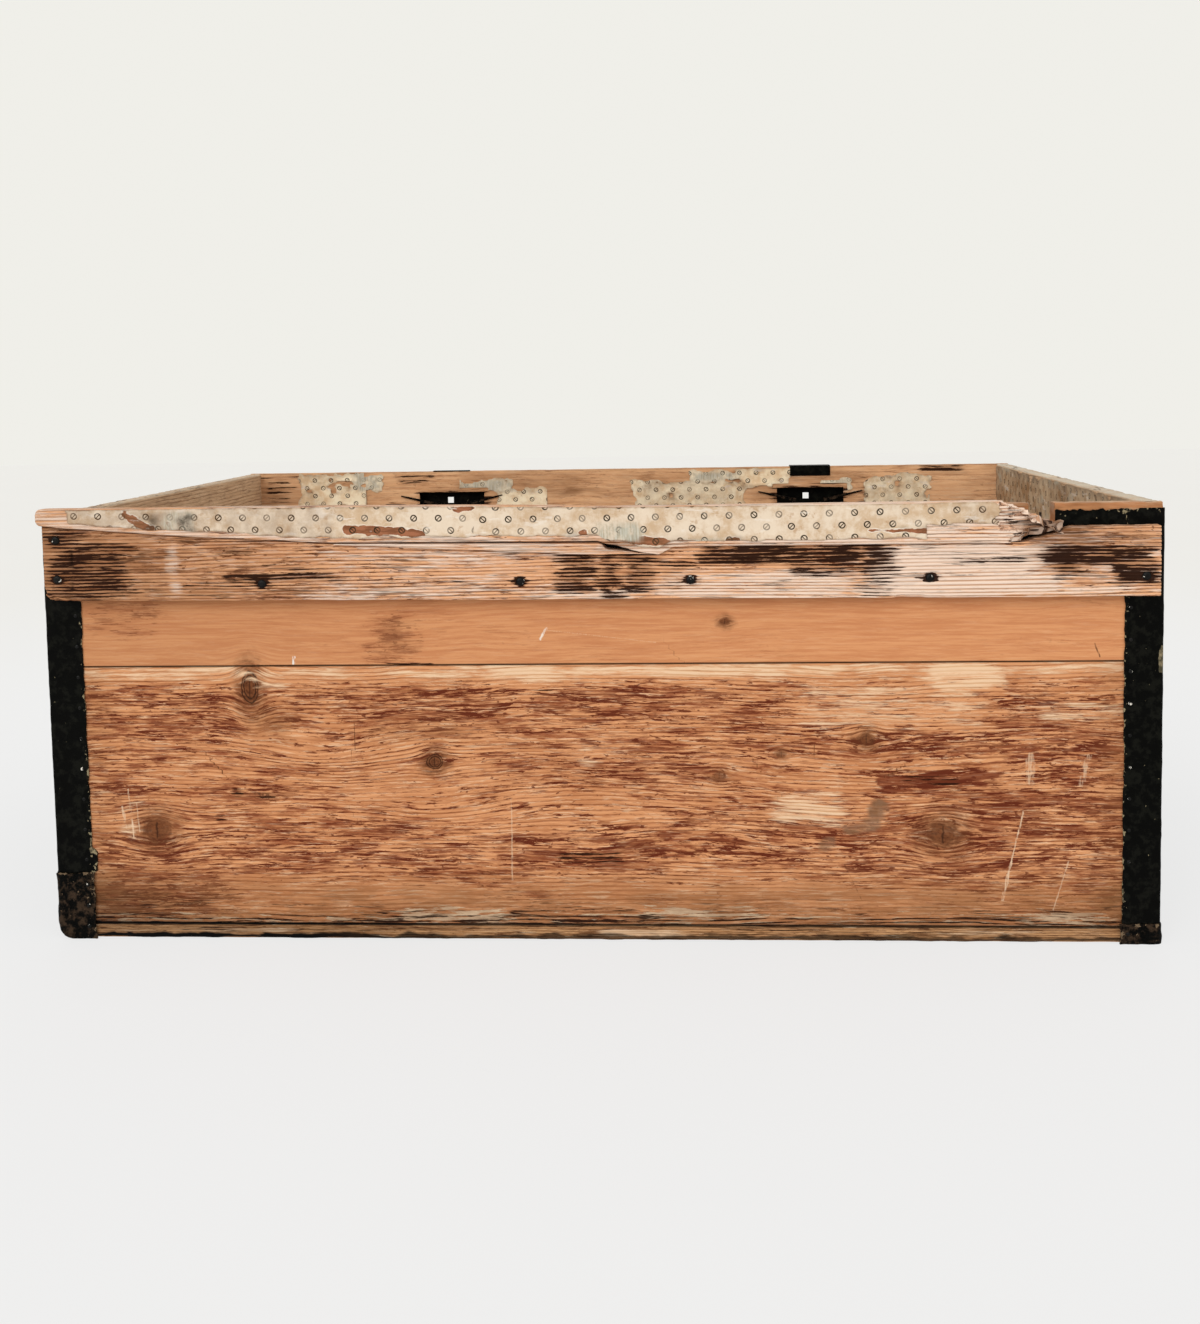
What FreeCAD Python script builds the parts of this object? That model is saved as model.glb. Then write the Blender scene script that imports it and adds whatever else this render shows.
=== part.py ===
import FreeCAD, Part
import math
import os

# An old open-topped nagamochi chest without its lid: a nailed softwood carcase of two-plank
# walls on a boarded bottom, black corner strips and foot caps, a split batten along one long
# side, two empty lock windows in the other, and a swinging carrying bail at each end.
# X runs along the chest, the batten side faces -Y, Z is up from the floor.
# The origin is on the floor, under the middle of the carcase. All sizes are in millimetres.

# Carcase
LENGTH = 1100.0
DEPTH = 640.0
HEIGHT = 434.0
BOARD = 18.0
FLOOR_BOARD = 16.0
LOWER_PLANK = 264.0
LAP = 9.0

# Pegs: in the plank seams, and through the corner laps
PEG_CLEARANCE = 0.05
SEAM_PEG_R = 3.0
SEAM_PEG_LENGTH = 40.0
SIDE_SEAM_PEGS = 5
END_SEAM_PEGS = 3
# Shares of the half length and half depth that the outermost seam pegs stand at
SIDE_PEG_SPREAD = 0.8
END_PEG_SPREAD = 0.6
CORNER_PEG_R = 2.0
CORNER_PEG_LENGTH = 42.0

# Every nail and tack: its point's length and tip as shares of the shank's radius, then its
# head's profile as shares of the head's radius and height
POINT_LENGTH_SHARE = 2.5
POINT_TIP_SHARE = 0.35
HEAD_SHOULDER_SHARE = 0.82
HEAD_RISE_SHARE = 0.65
HEAD_FLAT_SHARE = 0.45

# Nails up through the bottom boards, heads sunk flush
FLOOR_NAIL_R = 1.6
FLOOR_NAIL_HEAD_R = 3.6
FLOOR_NAIL_HEAD = 1.4
FLOOR_NAIL_LENGTH = 42.0
FLOOR_NAIL_INSET = 95.0
SIDE_FLOOR_NAILS = 8
END_FLOOR_NAILS = 4
NAIL_CLEARANCE = 0.05

# Black corner strips, foot caps and the tacks along their inner edges
STRIP = 1.2
STRIP_LEG = 36.0
STRIP_DROP = 6.0
CAP = 1.2
CAP_LEG = 38.0
CAP_HEIGHT = 69.0
# What is left of the cap at the batten side's right foot
CAP_LOW_HEIGHT = 20.0
FOOT_ROUND = 17.0
TACK_R = 0.8
TACK_HEAD_R = 2.1
TACK_HEAD = 0.9
TACK_LENGTH = 7.5
TACK_INSET = 4.5
TACKS_PER_LEG = 9
CAP_TACKS = 3
CAP_TACK_INSET = 5.0
CAP_TACK_END = 13.0

# Rim band, batten, split rail and its splinter on the batten side
BAND_DEPTH = 40.0
BATTEN = 16.0
BATTEN_DROP = 89.0
BATTEN_TOP_DROP = 21.0
BATTEN_END_INSET = 7.0
BATTEN_CORNER_R = 14.0
RAIL = 20.0
RAIL_RISE = 4.0
RAIL_TOP_LEFT_RISE = 3.5
RAIL_END_INSET = 1.0
RAIL_CORNER_R = 8.0
SPLIT_LEFT_DROP = 10.0
SPLIT_NEAR_DROP = 21.0
SPLIT_ROOT_DROP = 30.0
SPLIT_DROP = 36.0
SPLIT_LOW_DROP = 44.0
SPLINTER = 13.0
CRACK = 1.6
BATTEN_NAIL_R = 2.2
BATTEN_NAIL_HEAD_R = 4.2
BATTEN_NAIL_HEAD = 1.6
BATTEN_NAIL_LENGTH = 30.0
BATTEN_NAIL_INSET = 14.0
BATTEN_NAIL_RISE = 20.0
BATTEN_NAIL_HIGH = 65.0
BATTEN_NAIL_LOW = 26.0
# Places along the rail and the batten, as shares of half the batten's length
SPLIT_NEAR = -0.74
SPLIT_ROOT = -0.46
SPLINTER_STEP = 0.02
SPLINTER_TIP = 0.125
RAIL_LOW_END = 0.76
RAIL_HIGH_END = 0.72
RAIL_POINT = 0.85
RAIL_NICK = 0.79
BATTEN_NAIL_SHARES = (-0.595, -0.125, 0.179, 0.6)

# Broken-out notch in the rim of the batten side
NOTCH_SHARE = 0.778
NOTCH_WIDTH = 25.0
NOTCH_DEPTH = 21.0

# Lock windows, plates and their split pins
LEFT_LOCK_SHARE = -0.455
RIGHT_LOCK_SHARE = 0.487
WINDOW_WIDTH = 95.0
WINDOW_HEIGHT = 58.0
WINDOW_DROP = 30.0
PLATE = 1.5
PLATE_WIDTH = 128.0
PLATE_DROP = 14.0
PLATE_HEIGHT = 92.0
KEYHOLE = 8.6
KEYHOLE_SIDE = 5.0
KEYHOLE_DROP = 43.0
PIN_SPREAD = 22.0
PIN_DROP = 48.0
PIN_R = 2.0
PIN_HEAD_R = 6.0
PIN_HEAD = 3.0
PIN_LEG = 2.4
PIN_LEG_WIDTH = 5.0
PIN_TIP_WIDTH = 1.6
PIN_LEG_REACH = 52.0
PIN_LEG_RISE = 13.0
PLATE_NAIL_INSET = 7.0
TAB = 1.5
TAB_WIDTH = 57.0
TAB_INNER = 13.0
SLIVER_LENGTH = 53.0
SLIVER_WIDTH = 8.0
SLIVER = 1.2

# Paper on the walls and on the rail
PAPER = 0.4
PAPER_EDGE = 3.0
PAPER_CLEARANCE = 0.3
RAIL_PAPER_INSET = 34.0
RAIL_PAPER_MARGIN = 5.0
RAIL_PAPER_TOP = 1.0
# Paper remains on the lock side: shares of the half length, then drops below the rim
PAPER_PATCHES = (
    (-0.89, -0.68, 4.0, 120.0),
    (-0.31, -0.14, 22.0, 96.0),
    (0.02, 0.33, 16.0, 150.0),
    (0.64, 0.83, 14.0, 110.0),
)
# Shares of a patch's width and height that its torn corners take
TEAR_ACROSS = 0.2
TEAR_DOWN = 0.33

# Carrying bails at the ends
BAIL_R = 4.5
BAIL_SPREAD = 140.0
BAIL_DROP = 190.0
BAIL_CORNER_R = 30.0
BAIL_FOOT_R = 8.0
BAIL_PIVOT_DROP = 70.0
BAIL_STAND = 13.0
EYE_GAP = 0.3
EYE_WIDTH = 7.0
EYE_RING = 5.5
EYE_SHANK_R = 3.5
EYE_LEG = 2.4
EYE_LEG_WIDTH = 6.0
EYE_LEG_REACH = 24.0
ROSE = 1.5
ROSE_R = 17.0
STRIKER_R = 13.0
STRIKER_BOSS_R = 8.0
STRIKER_SPIKE_R = 2.0
STRIKER_SPIKE = 14.0
STRIKER_GAP = 0.3

# Faces and levels that follow from the sizes
HALF_LENGTH = LENGTH / 2
HALF_DEPTH = DEPTH / 2
SEAM_Z = FLOOR_BOARD + LOWER_PLANK
INNER_X = HALF_LENGTH - BOARD
INNER_Y = HALF_DEPTH - BOARD
STRIP_FACE = HALF_DEPTH + STRIP
BATTEN_Z = HEIGHT - BATTEN_DROP
BATTEN_HALF = HALF_LENGTH - BATTEN_END_INSET
SPLIT_MARGIN = 1.0
MARGIN = 5.0
SAME_PLACE = 0.01

BATTEN_SIDE = -1
LOCK_SIDE = 1

pieces = {}


def vec(x, y, z):
    return FreeCAD.Vector(x, y, z)


def box(x0, x1, y0, y1, z0, z1):
    return Part.makeBox(x1 - x0, y1 - y0, z1 - z0, vec(x0, y0, z0))


def rod(start, direction, length, radius):
    return Part.makeCylinder(radius, length, start, direction)


def spaced(first, last, count):
    """Evenly spaced places from first to last, both taken."""
    step = (last - first) / (count - 1)
    return [first + step * i for i in range(count)]


def sheet_xz(edges, y0, y1):
    """The closed outline of edges in the XZ plane at y0, made solid as far as y1."""
    return Part.Face(Part.Wire(edges)).extrude(vec(0, y1 - y0, 0))


def outline_xz(points, y0):
    """Straight edges through (x, z) points at y0, closed."""
    corners = [vec(x, y0, z) for x, z in points]
    return [Part.LineSegment(a, b).toShape() for a, b in zip(corners, corners[1:] + corners[:1])]


def plate_xz(points, y0, y1):
    return sheet_xz(outline_xz(points, y0), y0, y1)


def round_corner(solid, x, z, radius):
    """Round the one edge of solid that runs along Y through (x, z)."""
    for edge in solid.Edges:
        ends = [v.Point for v in edge.Vertexes]
        if all(abs(p.x - x) < SAME_PLACE and abs(p.z - z) < SAME_PLACE for p in ends):
            return solid.makeFillet(radius, [edge])
    return solid


def add(name, *solids):
    pieces.setdefault(name, []).extend(solids)


def cut(names, tools):
    """Cut the tools from every solid of the named pieces."""
    tool = Part.makeCompound(tools)
    for name in names:
        pieces[name] = [s for solid in pieces[name] for s in solid.cut(tool).Solids]


def nail(seat, direction, length, shank_r, head_r, head):
    """A blunt nail: the underside of its hammered head sits on seat, its shank runs along direction."""
    point = min(POINT_LENGTH_SHARE * shank_r, length / 2)
    shoulder = (HEAD_SHOULDER_SHARE * head_r, HEAD_RISE_SHARE * head)
    profile = [(0, -length), (POINT_TIP_SHARE * shank_r, -length), (shank_r, point - length), (shank_r, 0)]
    profile += [(head_r, 0), shoulder, (HEAD_FLAT_SHARE * head_r, head), (0, head)]
    corners = [vec(r, 0, z) for r, z in profile]
    edges = [Part.LineSegment(a, b).toShape() for a, b in zip(corners, corners[1:] + corners[:1])]
    solid = Part.Face(Part.Wire(edges)).revolve(vec(0, 0, 0), vec(0, 0, 1), 360)
    solid.Placement = FreeCAD.Placement(seat, FreeCAD.Rotation(vec(0, 0, -1), direction))
    return solid


def drive(name, into, seats, direction, size):
    """Nails of one size at all the seats, with their holes in the pieces they go into."""
    length, shank_r, head_r, head = size
    holes = []
    for seat in seats:
        add(name, nail(seat, direction, length, shank_r, head_r, head))
        start = seat - direction * MARGIN
        holes.append(rod(start, direction, MARGIN + length + NAIL_CLEARANCE, shank_r + NAIL_CLEARANCE))
    cut(into, holes)


def floor_boards():
    names = ["bottom_board_batten_side", "bottom_board_middle", "bottom_board_lock_side"]
    width = DEPTH / len(names)
    for i, name in enumerate(names):
        y0 = -HALF_DEPTH + i * width
        add(name, box(-HALF_LENGTH, HALF_LENGTH, y0, y0 + width, 0, FLOOR_BOARD))
    return names


def long_wall(prefix, side):
    """Two planks from end to end, rebated at both ends to lap over the end walls."""
    levels = {"lower": (FLOOR_BOARD, SEAM_Z), "upper": (SEAM_Z, HEIGHT)}
    for part, (z0, z1) in levels.items():
        y_in, y_lap, y_out = side * INNER_Y, side * (HALF_DEPTH - LAP), side * HALF_DEPTH
        core = box(-INNER_X, INNER_X, min(y_in, y_out), max(y_in, y_out), z0, z1)
        face = box(-HALF_LENGTH, HALF_LENGTH, min(y_lap, y_out), max(y_lap, y_out), z0, z1)
        add("%s_plank_%s" % (prefix, part), core.fuse(face).removeSplitter())


def end_wall(prefix, side):
    """Two planks between the laps of the long walls."""
    levels = {"lower": (FLOOR_BOARD, SEAM_Z), "upper": (SEAM_Z, HEIGHT)}
    x0, x1 = sorted((side * INNER_X, side * HALF_LENGTH))
    for part, (z0, z1) in levels.items():
        add("%s_plank_%s" % (prefix, part), box(x0, x1, LAP - HALF_DEPTH, HALF_DEPTH - LAP, z0, z1))


def seam_pegs():
    """Round pegs across the seam of each wall's two planks."""
    z0 = SEAM_Z - SEAM_PEG_LENGTH / 2
    y_peg = HALF_DEPTH - BOARD / 2
    x_peg = HALF_LENGTH - BOARD / 2
    side_xs = spaced(-SIDE_PEG_SPREAD * HALF_LENGTH, SIDE_PEG_SPREAD * HALF_LENGTH, SIDE_SEAM_PEGS)
    end_ys = spaced(-END_PEG_SPREAD * HALF_DEPTH, END_PEG_SPREAD * HALF_DEPTH, END_SEAM_PEGS)
    walls = {
        "batten_side": [(x, -y_peg) for x in side_xs],
        "lock_side": [(x, y_peg) for x in side_xs],
        "left_end": [(-x_peg, y) for y in end_ys],
        "right_end": [(x_peg, y) for y in end_ys],
    }
    up = vec(0, 0, 1)
    hole_z = z0 - PEG_CLEARANCE
    hole_length = SEAM_PEG_LENGTH + 2 * PEG_CLEARANCE
    hole_r = SEAM_PEG_R + PEG_CLEARANCE
    for wall, places in walls.items():
        for x, y in places:
            add("seam_pegs", rod(vec(x, y, z0), up, SEAM_PEG_LENGTH, SEAM_PEG_R))
        holes = [rod(vec(x, y, hole_z), up, hole_length, hole_r) for x, y in places]
        cut([wall + "_plank_lower", wall + "_plank_upper"], holes)


def tack_levels(top):
    return spaced(CAP_HEIGHT + CAP_TACK_END, top - CAP_TACK_END, TACKS_PER_LEG)


def corner_pegs():
    """Pegs through the laps into the end planks, each midway between two tacks of the strip."""
    levels = tack_levels(BATTEN_Z)
    middles = [(a + b) / 2 for a, b in zip(levels, levels[1:])]
    chosen = [CAP_HEIGHT / 2] + middles[1::3] + [HEIGHT - STRIP_LEG]
    x_peg = HALF_LENGTH - BOARD / 2
    for end, x_side in (("left", -1), ("right", 1)):
        for wall, y_side in (("batten_side", BATTEN_SIDE), ("lock_side", LOCK_SIDE)):
            inward = vec(0, -y_side, 0)
            holes = []
            for z in chosen:
                start = vec(x_side * x_peg, y_side * HALF_DEPTH, z)
                add("corner_pegs", rod(start, inward, CORNER_PEG_LENGTH, CORNER_PEG_R))
                length = CORNER_PEG_LENGTH + PEG_CLEARANCE
                holes.append(rod(start, inward, length, CORNER_PEG_R + PEG_CLEARANCE))
            planks = [n + p for n in (wall, end + "_end") for p in ("_plank_lower", "_plank_upper")]
            cut(planks, holes)


def floor_nails(boards):
    """Nails from below, with their heads sunk into the bottom boards."""
    y_nail = HALF_DEPTH - BOARD / 2
    x_nail = HALF_LENGTH - BOARD / 2
    xs = spaced(FLOOR_NAIL_INSET - HALF_LENGTH, HALF_LENGTH - FLOOR_NAIL_INSET, SIDE_FLOOR_NAILS)
    ys = spaced(FLOOR_NAIL_INSET - HALF_DEPTH, HALF_DEPTH - FLOOR_NAIL_INSET, END_FLOOR_NAILS)
    places = {
        "batten_side_plank_lower": [(x, -y_nail) for x in xs],
        "lock_side_plank_lower": [(x, y_nail) for x in xs],
        "left_end_plank_lower": [(-x_nail, y) for y in ys],
        "right_end_plank_lower": [(x_nail, y) for y in ys],
    }
    seat_z = FLOOR_NAIL_HEAD + NAIL_CLEARANCE
    sink_r = FLOOR_NAIL_HEAD_R + NAIL_CLEARANCE
    up = vec(0, 0, 1)
    size = (FLOOR_NAIL_LENGTH, FLOOR_NAIL_R, FLOOR_NAIL_HEAD_R, FLOOR_NAIL_HEAD)
    for plank, spots in places.items():
        seats = [vec(x, y, seat_z) for x, y in spots]
        drive("bottom_nails", boards + [plank], seats, up, size)
        cut(boards, [rod(vec(x, y, 0), up, seat_z, sink_r) for x, y in spots])


def angle(x_side, y_side, stand, thickness, leg, z0, z1):
    """An upright L of sheet round one corner of the carcase, standing off it by stand."""
    x_in, y_in = HALF_LENGTH + stand, HALF_DEPTH + stand
    x_out, y_out = x_in + thickness, y_in + thickness
    face = box(x_out - leg, x_out, y_in, y_out, z0, z1)
    flank = box(x_in, x_out, y_out - leg, y_out, z0, z1)
    bent = face.fuse(flank).removeSplitter()
    turn = FreeCAD.Matrix()
    turn.scale(vec(x_side, y_side, 1))
    return bent.transformGeometry(turn).Solids[0]


def corner(end, wall, x_side, y_side):
    """One corner strip with its foot cap and the tacks of both."""
    strip = "corner_strip_%s_%s" % (wall, end)
    cap = "foot_cap_%s_%s" % (wall, end)
    add(strip, angle(x_side, y_side, 0, STRIP, STRIP_LEG, 0, HEIGHT - STRIP_DROP))
    cap_height = CAP_HEIGHT
    cap_levels = spaced(CAP_TACK_END, CAP_HEIGHT - CAP_TACK_END, CAP_TACKS)
    if (end, y_side) == ("right", BATTEN_SIDE):
        cap_height = CAP_LOW_HEIGHT
        cap_levels = [CAP_LOW_HEIGHT / 2]
    add(cap, angle(x_side, y_side, STRIP, CAP, CAP_LEG, 0, cap_height))
    wall_planks = [wall + "_plank_lower", wall + "_plank_upper"]
    end_planks = [end + "_end_plank_lower", end + "_end_plank_upper"]
    size = (TACK_LENGTH, TACK_R, TACK_HEAD_R, TACK_HEAD)
    face_top = BATTEN_Z if y_side == BATTEN_SIDE else HEIGHT - STRIP_DROP
    x_face = HALF_LENGTH + STRIP - STRIP_LEG + TACK_INSET
    y_flank = HALF_DEPTH + STRIP - STRIP_LEG + TACK_INSET
    face_seats = [vec(x_side * x_face, y_side * STRIP_FACE, z) for z in tack_levels(face_top)]
    flank_x = x_side * (HALF_LENGTH + STRIP)
    flank_seats = [vec(flank_x, y_side * y_flank, z) for z in tack_levels(BATTEN_Z)]
    drive("corner_strip_tacks", [strip] + wall_planks, face_seats, vec(0, -y_side, 0), size)
    drive("corner_strip_tacks", [strip] + end_planks, flank_seats, vec(-x_side, 0, 0), size)
    out = STRIP + CAP
    x_cap = HALF_LENGTH + out - CAP_LEG + CAP_TACK_INSET
    y_cap = HALF_DEPTH + out - CAP_LEG + CAP_TACK_INSET
    cap_face = [vec(x_side * x_cap, y_side * (HALF_DEPTH + out), z) for z in cap_levels]
    cap_flank = [vec(x_side * (HALF_LENGTH + out), y_side * y_cap, z) for z in cap_levels]
    under = [cap, strip, "bottom_board_" + wall]
    drive("foot_cap_tacks", under + wall_planks[:1], cap_face, vec(0, -y_side, 0), size)
    drive("foot_cap_tacks", under + end_planks[:1], cap_flank, vec(-x_side, 0, 0), size)


def worn_foot():
    """Round the foot of the left corner on the batten side, caps, strip and wood alike."""
    out = STRIP + CAP
    x0, y0 = -HALF_LENGTH - out, -HALF_DEPTH - out
    y1 = y0 + CAP_LEG
    block = box(x0 - MARGIN, x0 + FOOT_ROUND, y0 - MARGIN, y1, -MARGIN, FOOT_ROUND)
    keep = rod(vec(x0 + FOOT_ROUND, y0 - MARGIN, FOOT_ROUND), vec(0, 1, 0), CAP_LEG + MARGIN, FOOT_ROUND)
    names = ["foot_cap_batten_side_left", "corner_strip_batten_side_left", "batten_side_plank_lower"]
    names += ["left_end_plank_lower", "bottom_board_batten_side"]
    cut(names, [block.cut(keep)])


def along(share):
    """A place along the batten from its share of the half length."""
    return share * BATTEN_HALF


def split_line():
    """The split from the left end to the rail's broken right end, as (x, z) points."""
    return [
        (-BATTEN_HALF, HEIGHT - SPLIT_LEFT_DROP),
        (along(SPLIT_NEAR), HEIGHT - SPLIT_NEAR_DROP),
        (along(SPLIT_ROOT), HEIGHT - SPLIT_ROOT_DROP),
        (along(SPLINTER_STEP), HEIGHT - SPLIT_LOW_DROP),
        (along(SPLINTER_TIP), HEIGHT - SPLIT_LOW_DROP),
        (along(SPLINTER_TIP) + SPLINTER, HEIGHT - SPLIT_DROP),
        (along(RAIL_LOW_END), HEIGHT - SPLIT_DROP),
        (along(RAIL_POINT), HEIGHT - BATTEN_TOP_DROP),
    ]


def batten():
    """The batten: straight below, split along its grain above, worn round at its lower left corner."""
    top = split_line() + [(BATTEN_HALF, HEIGHT - BATTEN_TOP_DROP)]
    points = [(-BATTEN_HALF, BATTEN_Z)] + top + [(BATTEN_HALF, BATTEN_Z)]
    solid = plate_xz(points, -STRIP_FACE - BATTEN, -STRIP_FACE)
    add("batten", round_corner(solid, -BATTEN_HALF, BATTEN_Z, BATTEN_CORNER_R))


def rail():
    """The split-off upper part of the batten, with the splinter that hangs from it."""
    y0, y1 = -STRIP_FACE - RAIL, -STRIP_FACE
    left = RAIL_END_INSET - HALF_LENGTH
    top_z = HEIGHT + RAIL_RISE
    line = split_line()
    root = line[2]
    crack_root = (root[0], root[1] + CRACK)
    crack_step = (along(SPLINTER_STEP), HEIGHT - SPLIT_ROOT_DROP)
    rail_low = [(left, line[0][1])] + line[:3]
    after = [(crack_step[0] + SPLINTER, line[5][1] + CRACK), line[5], line[6], line[7]]
    broken = [(along(RAIL_NICK), HEIGHT - SPLIT_LEFT_DROP), (along(RAIL_HIGH_END), top_z)]
    points = rail_low + [crack_root, crack_step] + after + broken + [(left, top_z + RAIL_TOP_LEFT_RISE)]
    solid = plate_xz(points, y0, y1)
    add("split_rail", round_corner(solid, left, line[0][1], RAIL_CORNER_R))
    under_step = (crack_step[0], crack_step[1] - CRACK)
    nose = (crack_step[0] + SPLIT_MARGIN, (under_step[1] + line[3][1]) / 2)
    tip = (line[4][0] - SPLIT_MARGIN, line[4][1])
    add("rail_splinter", plate_xz([root, line[3], tip, nose, under_step], y0, y1))
    low_edge = [(x, z + RAIL_PAPER_MARGIN) for x, z in line[1:3] + [crack_step, line[6]]]
    paper_left = left + RAIL_PAPER_INSET
    ends = [(along(RAIL_HIGH_END), top_z - RAIL_PAPER_TOP), (paper_left, top_z - RAIL_PAPER_TOP)]
    paper_low = [(paper_left, line[0][1])] + low_edge
    add("rail_paper", plate_xz(paper_low + ends, y0 - PAPER, y0))


def rim_band():
    """Black band under the batten, between the two corner strips, ending a little below the rim."""
    x_end = HALF_LENGTH + STRIP - STRIP_LEG
    z1 = HEIGHT - STRIP_DROP
    add("rim_band", box(-x_end, x_end, -STRIP_FACE, -HALF_DEPTH, z1 - BAND_DEPTH, z1))


def rim_notch():
    """The gap where a piece of the rim has broken out, band and all."""
    x0 = along(NOTCH_SHARE)
    y0, y1 = -STRIP_FACE - MARGIN, MARGIN - INNER_Y
    tool = box(x0, x0 + NOTCH_WIDTH, y0, y1, HEIGHT - NOTCH_DEPTH, HEIGHT + MARGIN)
    cut(["batten_side_plank_upper", "rim_band"], [tool])


def batten_nails():
    size = (BATTEN_NAIL_LENGTH, BATTEN_NAIL_R, BATTEN_NAIL_HEAD_R, BATTEN_NAIL_HEAD)
    end_x = BATTEN_HALF - BATTEN_NAIL_INSET
    spots = [(along(share), BATTEN_NAIL_RISE) for share in BATTEN_NAIL_SHARES]
    spots += [(-end_x, BATTEN_NAIL_LOW), (-end_x, BATTEN_NAIL_HIGH), (end_x, BATTEN_NAIL_RISE)]
    seats = [vec(x, -STRIP_FACE - BATTEN, BATTEN_Z + rise) for x, rise in spots]
    into = ["batten", "batten_side_plank_upper", "rim_band"]
    into += ["corner_strip_batten_side_left", "corner_strip_batten_side_right"]
    drive("batten_nails", into, seats, vec(0, 1, 0), size)


def split_pin(x, reach):
    """A pin from the outer plate into the window, its leg bent aside over the inner face of the wall."""
    z = HEIGHT - PIN_DROP
    way = math.copysign(1, reach)
    outer = HALF_DEPTH + PLATE
    shank_end = INNER_Y - PIN_LEG
    shank = rod(vec(x, shank_end, z), vec(0, 1, 0), outer + SPLIT_MARGIN - shank_end, PIN_R)
    dome = Part.makeSphere(PIN_HEAD_R, vec(x, outer + PIN_HEAD - PIN_HEAD_R, z))
    above = box(x - PIN_HEAD_R, x + PIN_HEAD_R, outer, outer + PIN_HEAD, z - PIN_HEAD_R, z + PIN_HEAD_R)
    head = dome.common(above)
    half, tip = PIN_LEG_WIDTH / 2, PIN_TIP_WIDTH / 2
    z_tip = z + PIN_LEG_RISE
    root_x = x - way * PIN_R
    points = [(root_x, z - half), (x + reach, z_tip - tip), (x + reach, z_tip + tip), (root_x, z + half)]
    leg = plate_xz(points, INNER_Y - PIN_LEG, INNER_Y)
    return shank.fuse([head, leg]).removeSplitter().Solids[0]


def lock(side, share):
    """An empty lock window, its outer plate with a square key hole, two split pins and four nails."""
    x = share * HALF_LENGTH
    z1 = HEIGHT - WINDOW_DROP
    half = WINDOW_WIDTH / 2
    plank = "lock_side_plank_upper"
    window = box(x - half, x + half, INNER_Y - MARGIN, HALF_DEPTH + MARGIN, z1 - WINDOW_HEIGHT, z1)
    cut([plank], [window])
    name = "lock_plate_" + side
    top, half_plate = HEIGHT - PLATE_DROP, PLATE_WIDTH / 2
    outer = HALF_DEPTH + PLATE
    add(name, box(x - half_plate, x + half_plate, HALF_DEPTH, outer, top - PLATE_HEIGHT, top))
    key_x, key_z, key = x - KEYHOLE_SIDE, HEIGHT - KEYHOLE_DROP, KEYHOLE / 2
    hole = box(key_x - key, key_x + key, HALF_DEPTH - MARGIN, outer + MARGIN, key_z - key, key_z + key)
    pins = "lock_split_pins_" + side
    bores = []
    for way in (-1, 1):
        pin_x = x + way * PIN_SPREAD
        add(pins, split_pin(pin_x, way * PIN_LEG_REACH))
        start = vec(pin_x, HALF_DEPTH - MARGIN, HEIGHT - PIN_DROP)
        bores.append(rod(start, vec(0, 1, 0), PLATE + 2 * MARGIN, PIN_R + NAIL_CLEARANCE))
    cut([name], [hole] + bores)
    xs = (x - half_plate + PLATE_NAIL_INSET, x + half_plate - PLATE_NAIL_INSET)
    zs = (top - PLATE_HEIGHT + PLATE_NAIL_INSET, top - PLATE_NAIL_INSET)
    seats = [vec(nail_x, outer, nail_z) for nail_x in xs for nail_z in zs]
    size = (TACK_LENGTH, TACK_R, TACK_HEAD_R, TACK_HEAD)
    drive("lock_plate_nails", [name, plank], seats, vec(0, -1, 0), size)


def rim_irons():
    """A tab folded over the rim above the right lock, and a flat sliver left on the rim by the other."""
    x = RIGHT_LOCK_SHARE * HALF_LENGTH
    half = TAB_WIDTH / 2
    low = HEIGHT - PLATE_DROP + SPLIT_MARGIN
    outer = box(x - half, x + half, HALF_DEPTH, HALF_DEPTH + TAB, low, HEIGHT + TAB)
    top = box(x - half, x + half, INNER_Y - TAB, HALF_DEPTH + TAB, HEIGHT, HEIGHT + TAB)
    inner = box(x - half, x + half, INNER_Y - TAB, INNER_Y, HEIGHT - TAB_INNER, HEIGHT + TAB)
    add("rim_tab_right", outer.fuse([top, inner]).removeSplitter().Solids[0])
    x = LEFT_LOCK_SHARE * HALF_LENGTH
    half = SLIVER_LENGTH / 2
    add("rim_sliver_left", box(x - half, x + half, INNER_Y, INNER_Y + SLIVER_WIDTH, HEIGHT, HEIGHT + SLIVER))


def right_lining():
    """Paper over the whole inner face of the right end."""
    top = HEIGHT - PAPER_EDGE
    half = INNER_Y - PAPER_EDGE
    add("paper_right_end", box(INNER_X - PAPER, INNER_X, -half, half, FLOOR_BOARD + PAPER_EDGE, top))


def patches():
    """Paper left in patches on the lock side, each with its corners torn away."""
    y0, y1 = INNER_Y - PAPER, INNER_Y
    for left, right, high, low in PAPER_PATCHES:
        x0, x1 = left * HALF_LENGTH, right * HALF_LENGTH
        z0, z1 = HEIGHT - low, HEIGHT - high
        wide, tall = (x1 - x0) * TEAR_ACROSS, (z1 - z0) * TEAR_DOWN
        lower = [(x0 + wide, z0), (x1, z0), (x1, z1 - tall)]
        upper = [(x1 - wide, z1), (x0 + wide, z1), (x0, z0 + tall)]
        add("paper_lock_side", plate_xz(lower + upper, y0, y1))


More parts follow.
